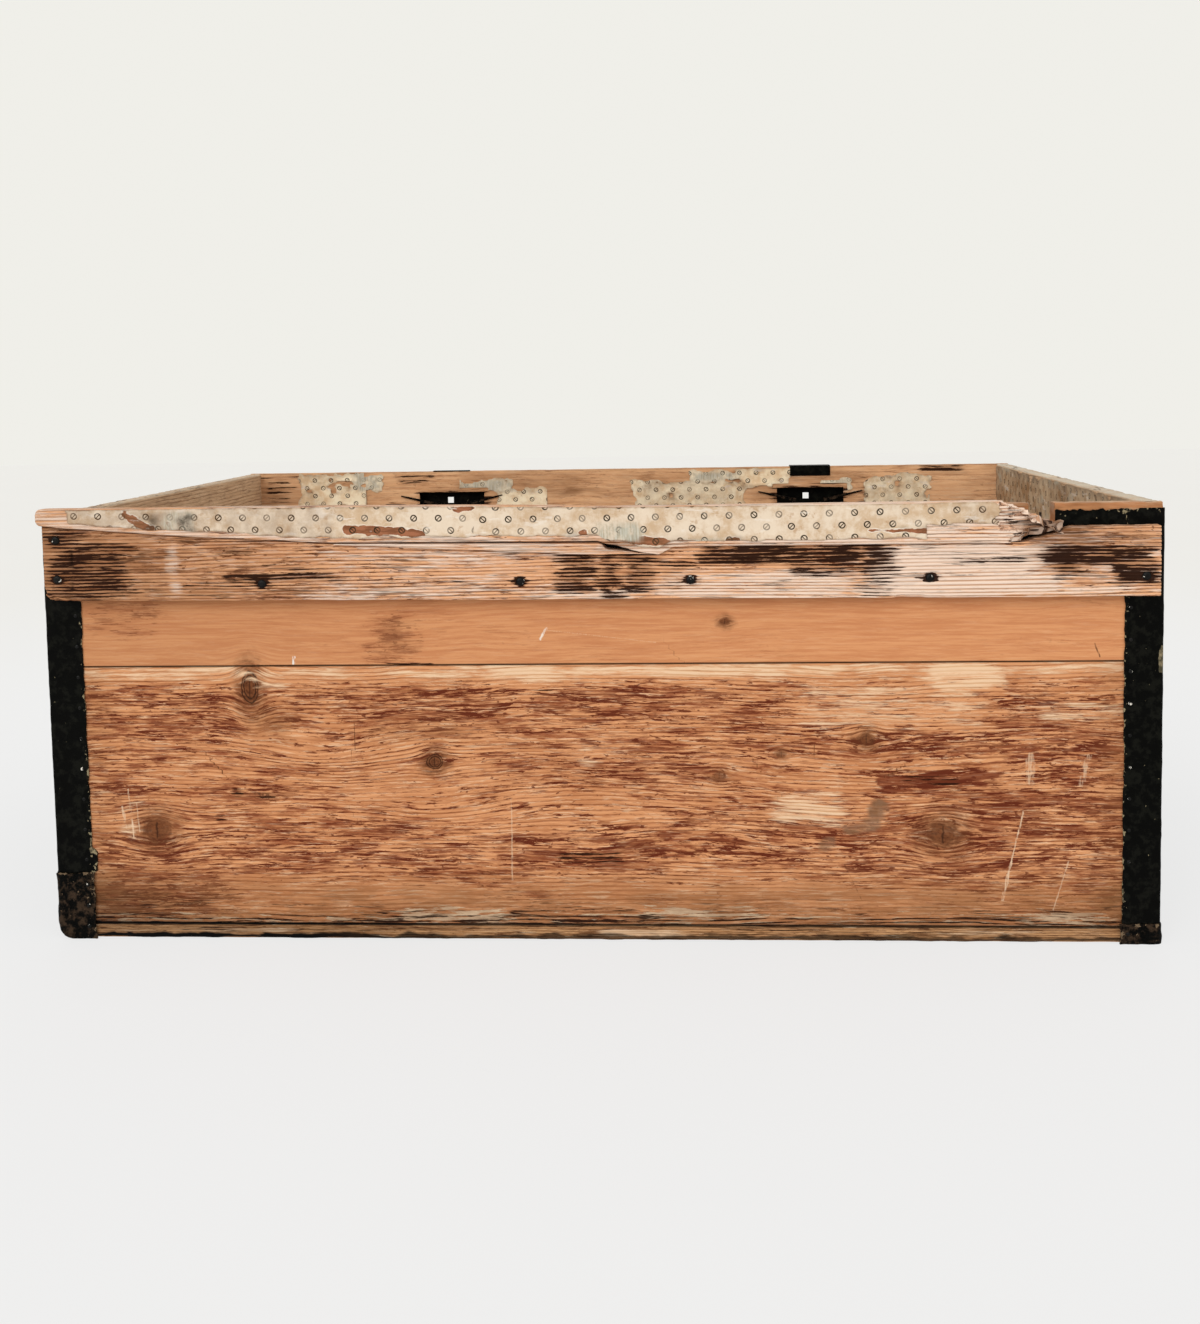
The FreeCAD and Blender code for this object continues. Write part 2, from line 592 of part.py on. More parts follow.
def bail():
    """The right-hand bail, hanging: round bar, its feet turned inwards into the eyes."""
    x = HALF_LENGTH + BAIL_STAND
    z = HEIGHT - BAIL_PIVOT_DROP
    half, low = BAIL_SPREAD / 2, z - BAIL_DROP
    foot = half - BAIL_FOOT_R - EYE_WIDTH - 2 * EYE_GAP - MARGIN
    corners = [vec(x, -foot, z), vec(x, -half, z), vec(x, -half, low), vec(x, half, low), vec(x, half, z)]
    corners.append(vec(x, foot, z))
    radii = [BAIL_FOOT_R, BAIL_CORNER_R, BAIL_CORNER_R, BAIL_FOOT_R]
    edges = []
    start = corners[0]
    for a, b, c, radius in zip(corners, corners[1:], corners[2:], radii):
        into, out = (b - a).normalize(), (c - b).normalize()
        first, last = b - into * radius, b + out * radius
        middle = b + (out - into).normalize() * radius * (math.sqrt(2) - 1)
        edges.append(Part.LineSegment(start, first).toShape())
        edges.append(Part.Arc(first, middle, last).toShape())
        start = last
    edges.append(Part.LineSegment(start, corners[-1]).toShape())
    section = Part.Wire([Part.makeCircle(BAIL_R, corners[0], vec(0, 1, 0))])
    return Part.Wire(edges).makePipeShell([section], True, False)


def eye_pin(y):
    """A forged eye on a round shank through the end wall, its two legs clinched flat inside."""
    x = HALF_LENGTH + BAIL_STAND
    z = HEIGHT - BAIL_PIVOT_DROP
    hole_r = BAIL_R + EYE_GAP
    ring_r = hole_r + EYE_RING
    ring = rod(vec(x, y - EYE_WIDTH / 2, z), vec(0, 1, 0), EYE_WIDTH, ring_r)
    bore = rod(vec(x, y - EYE_WIDTH, z), vec(0, 1, 0), 2 * EYE_WIDTH, hole_r)
    inner_end = INNER_X - EYE_LEG
    shank = rod(vec(inner_end, y, z), vec(1, 0, 0), x - hole_r - SPLIT_MARGIN - inner_end, EYE_SHANK_R)
    half = EYE_LEG_WIDTH / 2
    legs = box(inner_end, INNER_X, y - half, y + half, z - EYE_LEG_REACH, z + EYE_LEG_REACH)
    whole = ring.fuse([shank, legs]).cut(bore)
    return whole.removeSplitter().Solids[0]


def rose(y):
    """A round plate under an eye."""
    z = HEIGHT - BAIL_PIVOT_DROP
    disc = rod(vec(HALF_LENGTH, y, z), vec(1, 0, 0), ROSE, ROSE_R)
    hole = rod(vec(HALF_LENGTH - MARGIN, y, z), vec(1, 0, 0), 2 * MARGIN, EYE_SHANK_R + NAIL_CLEARANCE)
    return disc.cut(hole).Solids[0]


def striker():
    """A boss on a spike that the hanging bail rests by, so that it doesn't wear the wood."""
    z = HEIGHT - BAIL_PIVOT_DROP - BAIL_DROP
    out = vec(1, 0, 0)
    flange = rod(vec(HALF_LENGTH, 0, z), out, ROSE, STRIKER_R)
    boss = rod(vec(HALF_LENGTH, 0, z), out, BAIL_STAND - BAIL_R - STRIKER_GAP, STRIKER_BOSS_R)
    spike = rod(vec(HALF_LENGTH - STRIKER_SPIKE, 0, z), out, STRIKER_SPIKE + SPLIT_MARGIN, STRIKER_SPIKE_R)
    return flange.fuse([boss, spike]).removeSplitter().Solids[0]


def end_fittings(end, side):
    """The bail of one end with its eyes, roses and striker, and the holes they need."""
    def placed(shape):
        return shape if side > 0 else shape.mirror(vec(0, 0, 0), vec(1, 0, 0))

    planks = [end + "_end_plank_lower", end + "_end_plank_upper"]
    add(end + "_bail", placed(bail()))
    z = HEIGHT - BAIL_PIVOT_DROP
    eye_y = BAIL_SPREAD / 2 - BAIL_FOOT_R - EYE_GAP - EYE_WIDTH / 2
    inward = vec(-side, 0, 0)
    for name, y in (("batten_side", -eye_y), ("lock_side", eye_y)):
        add("%s_bail_eye_%s" % (end, name), placed(eye_pin(y)))
        add("%s_bail_roses" % end, placed(rose(y)))
        start = vec(side * (HALF_LENGTH + MARGIN), y, z)
        cut(planks, [rod(start, inward, BOARD + 2 * MARGIN, EYE_SHANK_R + NAIL_CLEARANCE)])
    add(end + "_bail_striker", placed(striker()))
    seat = vec(side * (HALF_LENGTH + MARGIN), 0, z - BAIL_DROP)
    depth = MARGIN + STRIKER_SPIKE + NAIL_CLEARANCE
    cut(planks, [rod(seat, inward, depth, STRIKER_SPIKE_R + NAIL_CLEARANCE)])
    if end == "right":
        reach = EYE_LEG_REACH + PAPER_CLEARANCE
        half = max(EYE_SHANK_R, EYE_LEG_WIDTH / 2) + PAPER_CLEARANCE
        x0, x1, z0, z1 = INNER_X - MARGIN, INNER_X, z - reach, z + reach
        cut(["paper_right_end"], [box(x0, x1, y - half, y + half, z0, z1) for y in (-eye_y, eye_y)])


def build():
    boards = floor_boards()
    long_wall("batten_side", BATTEN_SIDE)
    long_wall("lock_side", LOCK_SIDE)
    end_wall("left_end", -1)
    end_wall("right_end", 1)
    seam_pegs()
    corner_pegs()
    floor_nails(boards)
    for end, x_side in (("left", -1), ("right", 1)):
        for wall, y_side in (("batten_side", BATTEN_SIDE), ("lock_side", LOCK_SIDE)):
            corner(end, wall, x_side, y_side)
    worn_foot()
    rim_band()
    rim_notch()
    batten()
    rail()
    batten_nails()
    lock("left", LEFT_LOCK_SHARE)
    lock("right", RIGHT_LOCK_SHARE)
    rim_irons()
    right_lining()
    patches()
    end_fittings("left", -1)
    end_fittings("right", 1)


build()
os.makedirs("parts", exist_ok=True)
for name, solids in pieces.items():
    shape = solids[0] if len(solids) == 1 else Part.makeCompound(solids)
    shape.exportStep("parts/%s.step" % name)
    volume = sum(s.Volume for s in solids) / 1000.0
    print("%-34s %3d solids %9.1f cm3 valid %s" % (name, len(solids), volume, shape.isValid()))
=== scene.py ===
import itertools
import math

import bpy
import numpy as np
from mathutils import Matrix, Vector


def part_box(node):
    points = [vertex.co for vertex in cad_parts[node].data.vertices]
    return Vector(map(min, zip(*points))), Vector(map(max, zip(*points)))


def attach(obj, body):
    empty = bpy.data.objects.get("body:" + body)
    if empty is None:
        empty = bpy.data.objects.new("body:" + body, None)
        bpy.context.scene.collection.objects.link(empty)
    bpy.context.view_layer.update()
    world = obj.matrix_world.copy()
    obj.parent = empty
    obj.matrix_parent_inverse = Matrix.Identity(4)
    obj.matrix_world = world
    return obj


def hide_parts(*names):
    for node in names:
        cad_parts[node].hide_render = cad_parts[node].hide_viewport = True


# The looks of an old open nagamochi chest: weathered softwood, a split bleached batten, black
# corner strips, rusty foot caps and remains of printed lining paper. Sizes are in millimetres
# until a mesh is made. X runs along the chest, the batten side faces -Y, Z is up.

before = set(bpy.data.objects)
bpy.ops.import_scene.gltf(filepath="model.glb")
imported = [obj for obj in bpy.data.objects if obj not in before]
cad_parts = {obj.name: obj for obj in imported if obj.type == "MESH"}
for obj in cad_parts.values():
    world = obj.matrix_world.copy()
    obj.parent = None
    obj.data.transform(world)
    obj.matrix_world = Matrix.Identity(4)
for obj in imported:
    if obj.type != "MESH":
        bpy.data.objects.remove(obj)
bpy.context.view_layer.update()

MM = 0.001

# ---------------------------------------------------------------- places, from the frame


def corners(node):
    """Lowest and highest corner of a CAD node, in millimetres."""
    low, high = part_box(node)
    return np.array(low) / MM, np.array(high) / MM


LOW_PLANK = corners("batten_side_plank_lower")
HIGH_PLANK = corners("batten_side_plank_upper")
HALF_LENGTH = HIGH_PLANK[1][0]
HALF_DEPTH = -HIGH_PLANK[0][1]
INNER_Y = -HIGH_PLANK[1][1]
RIM_Z = HIGH_PLANK[1][2]
FLOOR_Z, SEAM_Z = LOW_PLANK[0][2], LOW_PLANK[1][2]
BOARD = HALF_DEPTH - INNER_Y
INNER_X = HALF_LENGTH - BOARD
LAP = corners("left_end_plank_lower")[0][1] + HALF_DEPTH
BATTEN_LOW, BATTEN_HIGH = corners("batten")
RAIL_LOW, RAIL_HIGH = corners("split_rail")

# The split between batten and rail, as (x, z) points, and the outlines it shares
SPLIT = [(-543, 424), (-401.8, 413), (-249.8, 404), (10.9, 390), (67.9, 390), (80.9, 398),
         (412.7, 398), (461.6, 413)]
BATTEN_TOP = SPLIT + [(543, 413)]
RAIL_BOTTOM = [(-549, 424), (-543, 424), (-401.8, 413), (-249.8, 404.6), (8, 403.8), (14, 401.5),
               (26, 399.4), (40, 395), (50, 392.6), (68, 390.6), (80.9, 397.8), (404, 398),
               (412, 398.6), (414, 402), (420, 404.5), (428, 404.5), (436, 406.5), (445, 409),
               (452, 411)]
RAIL_TOP = [(-549, 441), (-250, 440.8), (-100, 439.4), (17, 437.2), (195, 437.2), (391, 437.7),
            (397, 437), (400, 434), (407, 433.5), (411, 430), (418, 429.5), (421, 425), (429, 424),
            (433, 419.5), (441, 418.5), (445, 415), (452, 413)]
SPLINTER_BOTTOM = [(-249.8, 403), (10.9, 390), (66.9, 390)]
SPLINTER_TOP = [(-249.8, 404), (10.9, 402.4), (15.9, 396.8), (66.9, 391)]
FOOT_ROUND = 17.0
NOTCH = (422.5, 447.5, 413.0)
LOCK_WINDOWS = [(-297.75, -202.75), (220.35, 315.35)]
WINDOW_Z = (346.0, 404.0)

# ---------------------------------------------------------------- seeded noise


def lattice_value(seed, cells):
    """A fixed value between -1 and 1 for each lattice cell."""
    key = np.full(np.broadcast(*cells).shape, seed, np.uint64)
    for cell in cells:
        key = (key ^ cell.astype(np.uint64)) * np.uint64(0x9E3779B97F4A7C15)
        key = (key ^ (key >> np.uint64(29))) * np.uint64(0xBF58476D1CE4E5B9)
        key = key ^ (key >> np.uint64(32))
    return (key >> np.uint64(11)).astype(float) / 2.0 ** 52 - 1


def noise(seed, *places, octaves=1):
    """Smooth noise between about -1 and 1, the same on every run."""
    total, weight, size = 0, 1.0, 0.0
    for octave in range(octaves):
        scaled = [np.asarray(p, float) * 2 ** octave for p in places]
        cells = [np.floor(s).astype(np.int64) for s in scaled]
        eased = [(s - c) ** 2 * (3 - 2 * (s - c)) for s, c in zip(scaled, cells)]
        layer = 0
        for corner in itertools.product((0, 1), repeat=len(places)):
            share = 1
            for ease, side in zip(eased, corner):
                share = share * (ease if side else 1 - ease)
            value = lattice_value(seed + octave, [c + side for c, side in zip(cells, corner)])
            layer = layer + share * value
        total = total + weight * layer
        size += weight
        weight *= 0.5
    return total / size


def smooth(value, low, high):
    t = np.clip((value - low) / (high - low), 0, 1)
    return t * t * (3 - 2 * t)


def facing(place, face):
    """1 on a board's face at that place, 0 from 2 mm inside it."""
    return smooth(place, face - 2, face - 0.5)


def along(x, line):
    """The height of a line of (x, z) points at x."""
    return np.interp(x, *zip(*line))


def soft_box(x, z, x0, x1, z0, z1, edge_x, edge_z):
    """1 inside the box, falling to 0 over the given edges."""
    across = smooth(x, x0 - edge_x, x0 + edge_x) * smooth(-x, -x1 - edge_x, -x1 + edge_x)
    return across * smooth(z, z0 - edge_z, z0 + edge_z) * smooth(-z, -z1 - edge_z, -z1 + edge_z)


def patches(x, z, marks, edge_x, edge_z, seed):
    """The strongest of several soft patches (x0, x1, z0, z1, strength), their edges wandering."""
    wander_x = x + edge_x * noise(seed, x / 30, z / 7, octaves=3)
    wander_z = z + 0.8 * edge_z * noise(seed + 9, x / 26, z / 9, octaves=3)
    total = np.zeros(len(x))
    for *box, strength in marks:
        total = np.maximum(total, strength * soft_box(wander_x, wander_z, *box, edge_x, edge_z))
    return total


def capsule(u, v, tear):
    """Distance inside a tear that runs from one point to another with a given half width."""
    u0, v0, u1, v1, half = tear
    run_u, run_v = u1 - u0, v1 - v0
    share = np.clip(((u - u0) * run_u + (v - v0) * run_v) / (run_u ** 2 + run_v ** 2), 0, 1)
    return half - np.hypot(u - u0 - share * run_u, v - v0 - share * run_v)


# ---------------------------------------------------------------- meshes

# Where the lattice lines lie near a board's edges, so that its rounding is fine
EDGE_LINES = (0.0, 0.6, 1.3, 2.2, 3.4)
SHARP = math.radians(45)


def levels(low, high, step, edge=True):
    """Lattice places from low to high about step apart, closer together at both ends."""
    fine = EDGE_LINES if edge and high - low > 4 * step + 7 else (0.0,)
    inner_low, inner_high = low + fine[-1], high - fine[-1]
    count = max(1, round((inner_high - inner_low) / step))
    middle = np.linspace(inner_low, inner_high, count + 1)
    ends = [low + f for f in fine[:-1]], [high - f for f in reversed(fine[:-1])]
    return np.concatenate([ends[0], middle, ends[1]])


def through(places, *marks):
    """Lattice places moved so that each mark lies on one of them."""
    places = np.array(places)
    for mark in marks:
        places[np.argmin(abs(places - mark))] = mark
    return places


def lattice(xs, ys, zs, solid=None):
    """The outer faces of a lattice's solid cells: their corners, and quads that look outwards."""
    axes = [np.asarray(a, float) for a in (xs, ys, zs)]
    if solid is None:
        solid = np.ones([len(a) - 1 for a in axes], bool)
    strides = np.array([len(axes[1]) * len(axes[2]), len(axes[2]), 1])
    full = np.pad(solid, 1)
    quads = []
    for a in range(3):
        b, c = (a + 1) % 3, (a + 2) % 3
        low, high = [slice(1, -1)] * 3, [slice(1, -1)] * 3
        low[a], high[a] = slice(0, -1), slice(1, None)
        before, after = full[tuple(low)], full[tuple(high)]
        for here, order in ((before & ~after, 1), (~before & after, -1)):
            start = np.argwhere(here) @ strides
            loop = [start, start + strides[b], start + strides[b] + strides[c], start + strides[c]]
            quads.append(np.stack(loop[::order], 1))
    used, index = np.unique(np.concatenate(quads), return_inverse=True)
    grid = [used // strides[0], used // strides[1] % len(axes[1]), used % len(axes[2])]
    return np.stack([axis[g] for axis, g in zip(axes, grid)], 1), index.reshape(-1, 4)


def middles(xs, ys, zs):
    """The middles of all lattice cells, as three grids."""
    halves = [(np.array(a)[1:] + np.array(a)[:-1]) / 2 for a in (xs, ys, zs)]
    return np.meshgrid(*halves, indexing="ij")


def worn(place, low, high, radius, relief):
    """Round the edges of a box by radius, and move its faces out by relief."""
    near = np.minimum(abs(place - low), abs(place - high)).min(1) < 1e-6
    radius = radius[:, None]
    core = np.clip(place, low + radius, high - radius)
    out = place - core
    length = np.linalg.norm(out, axis=1, keepdims=True)
    moved = core + out / np.maximum(length, 1e-9) * (radius + relief[:, None])
    return np.where(near[:, None] & (length > 1e-9), moved, place)


def rounded_foot(place, beyond=1.5, depth=60):
    """The worn foot at the left of the batten side: nothing lies outside its round."""
    centre = np.array([-HALF_LENGTH - beyond + FOOT_ROUND, FOOT_ROUND])
    out = place[:, [0, 2]] - centre
    length = np.linalg.norm(out, axis=1)
    outside = (out < 0).all(1) & (length > FOOT_ROUND) & (place[:, 1] < depth - HALF_DEPTH)
    share = np.where(outside, FOOT_ROUND / np.maximum(length, 1e-9), 1.0)
    place = place.copy()
    place[:, 0] = centre[0] + out[:, 0] * share
    place[:, 2] = centre[1] + out[:, 1] * share
    return place


def piece(node, place, quads, slot, material, **fields):
    """The worn piece that takes a CAD node's place, its fields kept as attributes."""
    mesh = bpy.data.meshes.new(node + "_worn")
    mesh.vertices.add(len(place))
    mesh.vertices.foreach_set("co", (place * MM).ravel())
    mesh.loops.add(quads.size)
    mesh.loops.foreach_set("vertex_index", quads.ravel())
    mesh.polygons.add(len(quads))
    mesh.polygons.foreach_set("loop_start", np.arange(0, quads.size, 4))
    mesh.update(calc_edges=True)
    for key, field in fields.items():
        kind, data = ("FLOAT_VECTOR", "vector") if np.ndim(field) == 2 else ("FLOAT", "value")
        attribute = mesh.attributes.new(key, kind, "POINT")
        attribute.data.foreach_set(data, np.ascontiguousarray(field, np.float32).ravel())
    mesh.shade_smooth()
    mesh.set_sharp_from_angle(angle=SHARP)
    mesh.materials.append(material)
    made = bpy.data.objects.new(node + "_worn", mesh)
    bpy.context.scene.collection.objects.link(made)
    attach(made, "carcase")
    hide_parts(node)


# ---------------------------------------------------------------- shader nodes

# How much brighter than its own colour a face looks in this light
LIT = 1.24


def srgb(red, green, blue):
    """A linear colour from display values of 0 to 255."""
    share = np.array([red, green, blue]) / 255
    linear = np.where(share < 0.04045, share / 12.92, ((share + 0.055) / 1.055) ** 2.4)
    return (*linear.tolist(), 1.0)


def tone(red, green, blue):
    """The colour of a material that shows these display values where it is well lit."""
    return (*[value / LIT for value in srgb(red, green, blue)[:3]], 1.0)


class Value:
    """A number, vector or colour that a material's nodes compute at each point."""

    def __init__(self, shader, socket):
        self.shader, self.socket = shader, socket

    def math(self, operation, other=0.0):
        return self.shader.node("ShaderNodeMath", {0: self, 1: other}, operation=operation)

    def __add__(self, other):
        return self.math("ADD", other)

    def __sub__(self, other):
        return self.math("SUBTRACT", other)

    def __mul__(self, other):
        return self.math("MULTIPLY", other)

    def __abs__(self):
        return self.math("ABSOLUTE")

    def most(self, other):
        return self.math("MAXIMUM", other)

    def vector(self, operation, other=(0.0, 0.0, 0.0), output=0):
        inputs = {0: self, 1: other}
        return self.shader.node("ShaderNodeVectorMath", inputs, output, operation=operation)

    def length(self):
        return self.vector("LENGTH", output="Value")

    def axis(self, order):
        return self.shader.node("ShaderNodeSeparateXYZ", {0: self}, order)

    def noise(self, scale, detail=3.0, roughness=0.55, distortion=0.0):
        """Noise with about one feature per scale step, one scale for all axes or one for each."""
        scale = scale if isinstance(scale, tuple) else (scale,) * 3
        inputs = {"Vector": self.vector("MULTIPLY", scale), "Scale": 1.0, "Detail": detail,
                  "Roughness": roughness, "Distortion": distortion}
        return self.shader.node("ShaderNodeTexNoise", inputs, "Fac")

    def swing(self, scale, amount, detail=3.0, roughness=0.55):
        """Noise that swings by about half the amount to either side of 0."""
        return (self.noise(scale, detail, roughness) - 0.5) * amount

    def step(self, low, high, to_low=0.0, to_high=1.0):
        """A smooth step from to_low at low to to_high at high."""
        inputs = {"Value": self, "From Min": low, "From Max": high, "To Min": to_low,
                  "To Max": to_high}
        kind = "SMOOTHSTEP"
        return self.shader.node("ShaderNodeMapRange", inputs, "Result", interpolation_type=kind)

    def under(self, low, high):
        """A smooth step from 1 at low to 0 at high."""
        return self.step(low, high, 1.0, 0.0)

    def mix(self, a, b):
        """Colour a where this is 0, and b where it is 1."""
        return self.shader.node("ShaderNodeMix", {0: self, 6: a, 7: b}, 2, data_type="RGBA")

    def blend(self, a, b):
        """Number a where this is 0, and b where it is 1."""
        return self.shader.node("ShaderNodeMix", {0: self, 2: a, 3: b})


class Shader:
    """One material's node tree."""

    def __init__(self, name, metallic=0.0, specular=0.35):
        self.material = bpy.data.materials.new(name)
        self.material.use_nodes = True
        self.tree = self.material.node_tree
        self.tree.nodes.clear()
        self.bsdf = self.tree.nodes.new("ShaderNodeBsdfPrincipled")
        self.bsdf.inputs["Metallic"].default_value = metallic
        self.bsdf.inputs["Specular IOR Level"].default_value = specular
        output = self.tree.nodes.new("ShaderNodeOutputMaterial")
        self.tree.links.new(self.bsdf.outputs[0], output.inputs["Surface"])

    def set(self, socket, value):
        if isinstance(value, Value):
            self.tree.links.new(value.socket, socket)
        else:
            socket.default_value = value

    def node(self, kind, inputs, output=0, **settings):
        made = self.tree.nodes.new(kind)
        for key, value in settings.items():
            setattr(made, key, value)
        for key, value in inputs.items():
            self.set(made.inputs[key], value)
        return Value(self, made.outputs[output])

    def field(self, name, output="Fac"):
        return self.node("ShaderNodeAttribute", {}, output, attribute_name=name)

    def place(self):
        return self.node("ShaderNodeTexCoord", {}, "Object")

    def finish(self, colour, roughness, height, distance):
        """Link the surface's colour, roughness and a bump of that height."""
        bump = self.node("ShaderNodeBump", {"Strength": 1.0, "Distance": distance, "Height": height})
        for name, value in (("Base Color", colour), ("Roughness", roughness), ("Normal", bump)):
            self.set(self.bsdf.inputs[name], value)
        return self.material


def latewood(grain, pitch, steady, uneven):
    """Thin dark lines, pitch millimetres apart across the grain, that fade along their length, and
    the distance from them, from 0 to 1. The more uneven, the less neighbours fade together."""
    phase = (grain.axis(1) * (1 / (pitch * MM))).math("FRACT")
    crest = abs(phase - 0.5) * 2.0
    fade = grain.noise((6, uneven, 60), 3, 0.6).step(0.4, 0.58, steady, 1.0)
    return crest.under(0.1, 0.54) * fade, crest


def red_marks(s, colour, grain, broad, late, red, strength):
    """Red-brown marks along the grain: fine dashes and ragged smears, as dense as "streaks" says."""
    density = s.field("streaks")
    here = density.step(0.02, 0.2) * strength
    need = density * 0.095
    patch = grain.noise((26, 130, 60), 5, 0.66, 0.3)
    smear = (patch + broad * 0.5 + need).step(0.79, 0.89)
    shade = grain.noise((50, 760, 200), 4, 0.66).step(0.42, 0.56, 0.1, 0.72)
    shade = shade.most(density.step(1.5, 1.8, 0.0, 0.72))
    colour = (smear * here * shade).mix(colour, red)
    fine = grain.noise((56, 640, 200), 4, 0.66, 0.3)
    dash = (fine + late * 0.07 + need + patch * 0.42).step(0.82, 0.85)
    depth = grain.noise((24, 190, 80), 3).step(0.42, 0.58, 0.4, 1.0)
    deep = tuple((a + b) / 2 for a, b in zip(red, srgb(44, 12, 4)))
    colour = (dash * here * depth).mix(colour, deep)
    speck = (grain.noise((120, 300, 150), 2) + density * 0.04).step(0.69, 0.72)
    return (speck * here * 0.8).mix(colour, deep), dash


def knots(s, colour, grain):
    """Knots: a smoky halo, a brown core with faint rings and a split, and, round the darkest
    ones, a thin double outline."""
    at, place = s.field("knot_at", "Vector"), s.place()
    across, darkness = at.axis(0), at.axis(2)
    ragged = place.swing(120, 1.9, 5, 0.66)
    plain = at.vector("MULTIPLY", (1, 1, 0)).length()
    away = plain + ragged * 0.3
    smoky = grain.noise((60, 420, 100), 5, 0.66).step(0.38, 0.6, 0.35, 1.0)
    halo = (plain + ragged).under(0.8, 2.8) * darkness * smoky
    colour = halo.mix(colour, tone(92, 48, 25))
    rings = (away * 17.0).math("SINE").step(-0.9, 0.9, 0.2, 0.4)
    mottle = place.noise((200, 420, 420), 4, 0.7)
    wooden = (rings + (mottle - 0.5) * 2.8).mix(tone(118, 69, 40), tone(66, 33, 17))
    core = (plain + ragged * 0.6).under(0.6, 1.2) * darkness
    colour = core.mix(colour, wooden)
    double = abs(away - 0.98).math("MINIMUM", abs(away - 0.72))
    outline = double.under(0.02, 0.09) * darkness.step(0.84, 0.94, 0.15, 0.9)
    split = abs(across + ragged * 0.2).under(0.02, 0.09)
    split = split * away.under(0.5, 0.8) * darkness * 0.8
    return outline.most(split).mix(colour, tone(44, 24, 12))


def weather(s, colour, grain, fibre, broad, late, crest, bleached):
    """Bleached wood, pale flakes, cracks, black iron stain and dirt, where the attributes say."""
    pale = s.field("pale")
    bleach = pale + (fibre - 0.5) * 2.4 + (broad - 0.5) * 2.4
    bleach = bleach.step(0.25, 0.8) * pale.step(0.02, 0.25)
    colour = (bleach * 0.85).mix(colour, late.mix(*bleached))
    flakes = s.field("flakes")
    chips = grain.noise((26, 330, 150), 5, 0.66) + flakes * 0.17
    chips = chips.step(0.71, 0.735) * flakes.step(0.05, 0.2)
    colour = chips.mix(colour, tone(234, 206, 172))
    crack = abs(grain.noise((4, 95, 40), 4, 0.6) - 0.5)
    crack = crack.under(0.004, 0.02) * s.field("cracks") * broad.step(0.46, 0.52)
    smoke = s.field("dirt") * grain.noise((24, 110, 60), 5, 0.62).step(0.35, 0.62, 0.5, 1.0)
    colour = smoke.mix(colour, tone(125, 81, 48))
    dusty = s.place().noise(60, 5, 0.66).step(0.34, 0.56, 0.45, 1.0)
    colour = (s.field("dust") * dusty).mix(colour, tone(206, 198, 182))
    stain = s.field("stain")
    fine = grain.noise((30, 620, 150), 4, 0.62)
    ragged = (fine - 0.5) * 3.4 + (broad - 0.5) * 2.2 - crest
    black = (stain + ragged).step(0.04, 0.22) * stain.step(0.05, 0.3)
    colour = (stain.step(0.15, 0.8) * 0.5).mix(colour, tone(116, 70, 42))
    return (black.most(crack) * 0.97).mix(colour, tone(38, 14, 3)), chips, crack


def scratch(s, colour, mark):
    """One scratch over the batten side: from (x, z) to (x, z), half its width, its strength, colour."""
    x0, z0, x1, z1, half, strength, shade = mark
    half, run = half * MM, np.array([x1 - x0, 0, z1 - z0]) * MM
    place = s.place()
    off = place.vector("MULTIPLY", (1, 0, 1)).vector("SUBTRACT", (x0 * MM, 0, z0 * MM))
    share = off.vector("DOT_PRODUCT", tuple(run / (run @ run)), "Value")
    share = s.node("ShaderNodeClamp", {0: share})
    nearest = s.node("ShaderNodeCombineXYZ", {0: share * run[0], 2: share * run[2]})
    away = off.vector("SUBTRACT", nearest).length() + place.swing(160, half * 2.5)
    broken = place.noise((620, 420, 70), 5, 0.75).step(0.4, 0.56)
    front = place.axis(1).under(-(HALF_DEPTH - 2) * MM, -(HALF_DEPTH - 3) * MM)
    return (away.under(half * 0.4, half) * broken * front * strength).mix(colour, shade)


CREAM = (tone(240, 206, 170), tone(214, 164, 120))
WHITENED = (tone(244, 222, 204), tone(206, 160, 128))
DRY = (0.65, 0.85)
LACQUER_GLOSS = 0.38


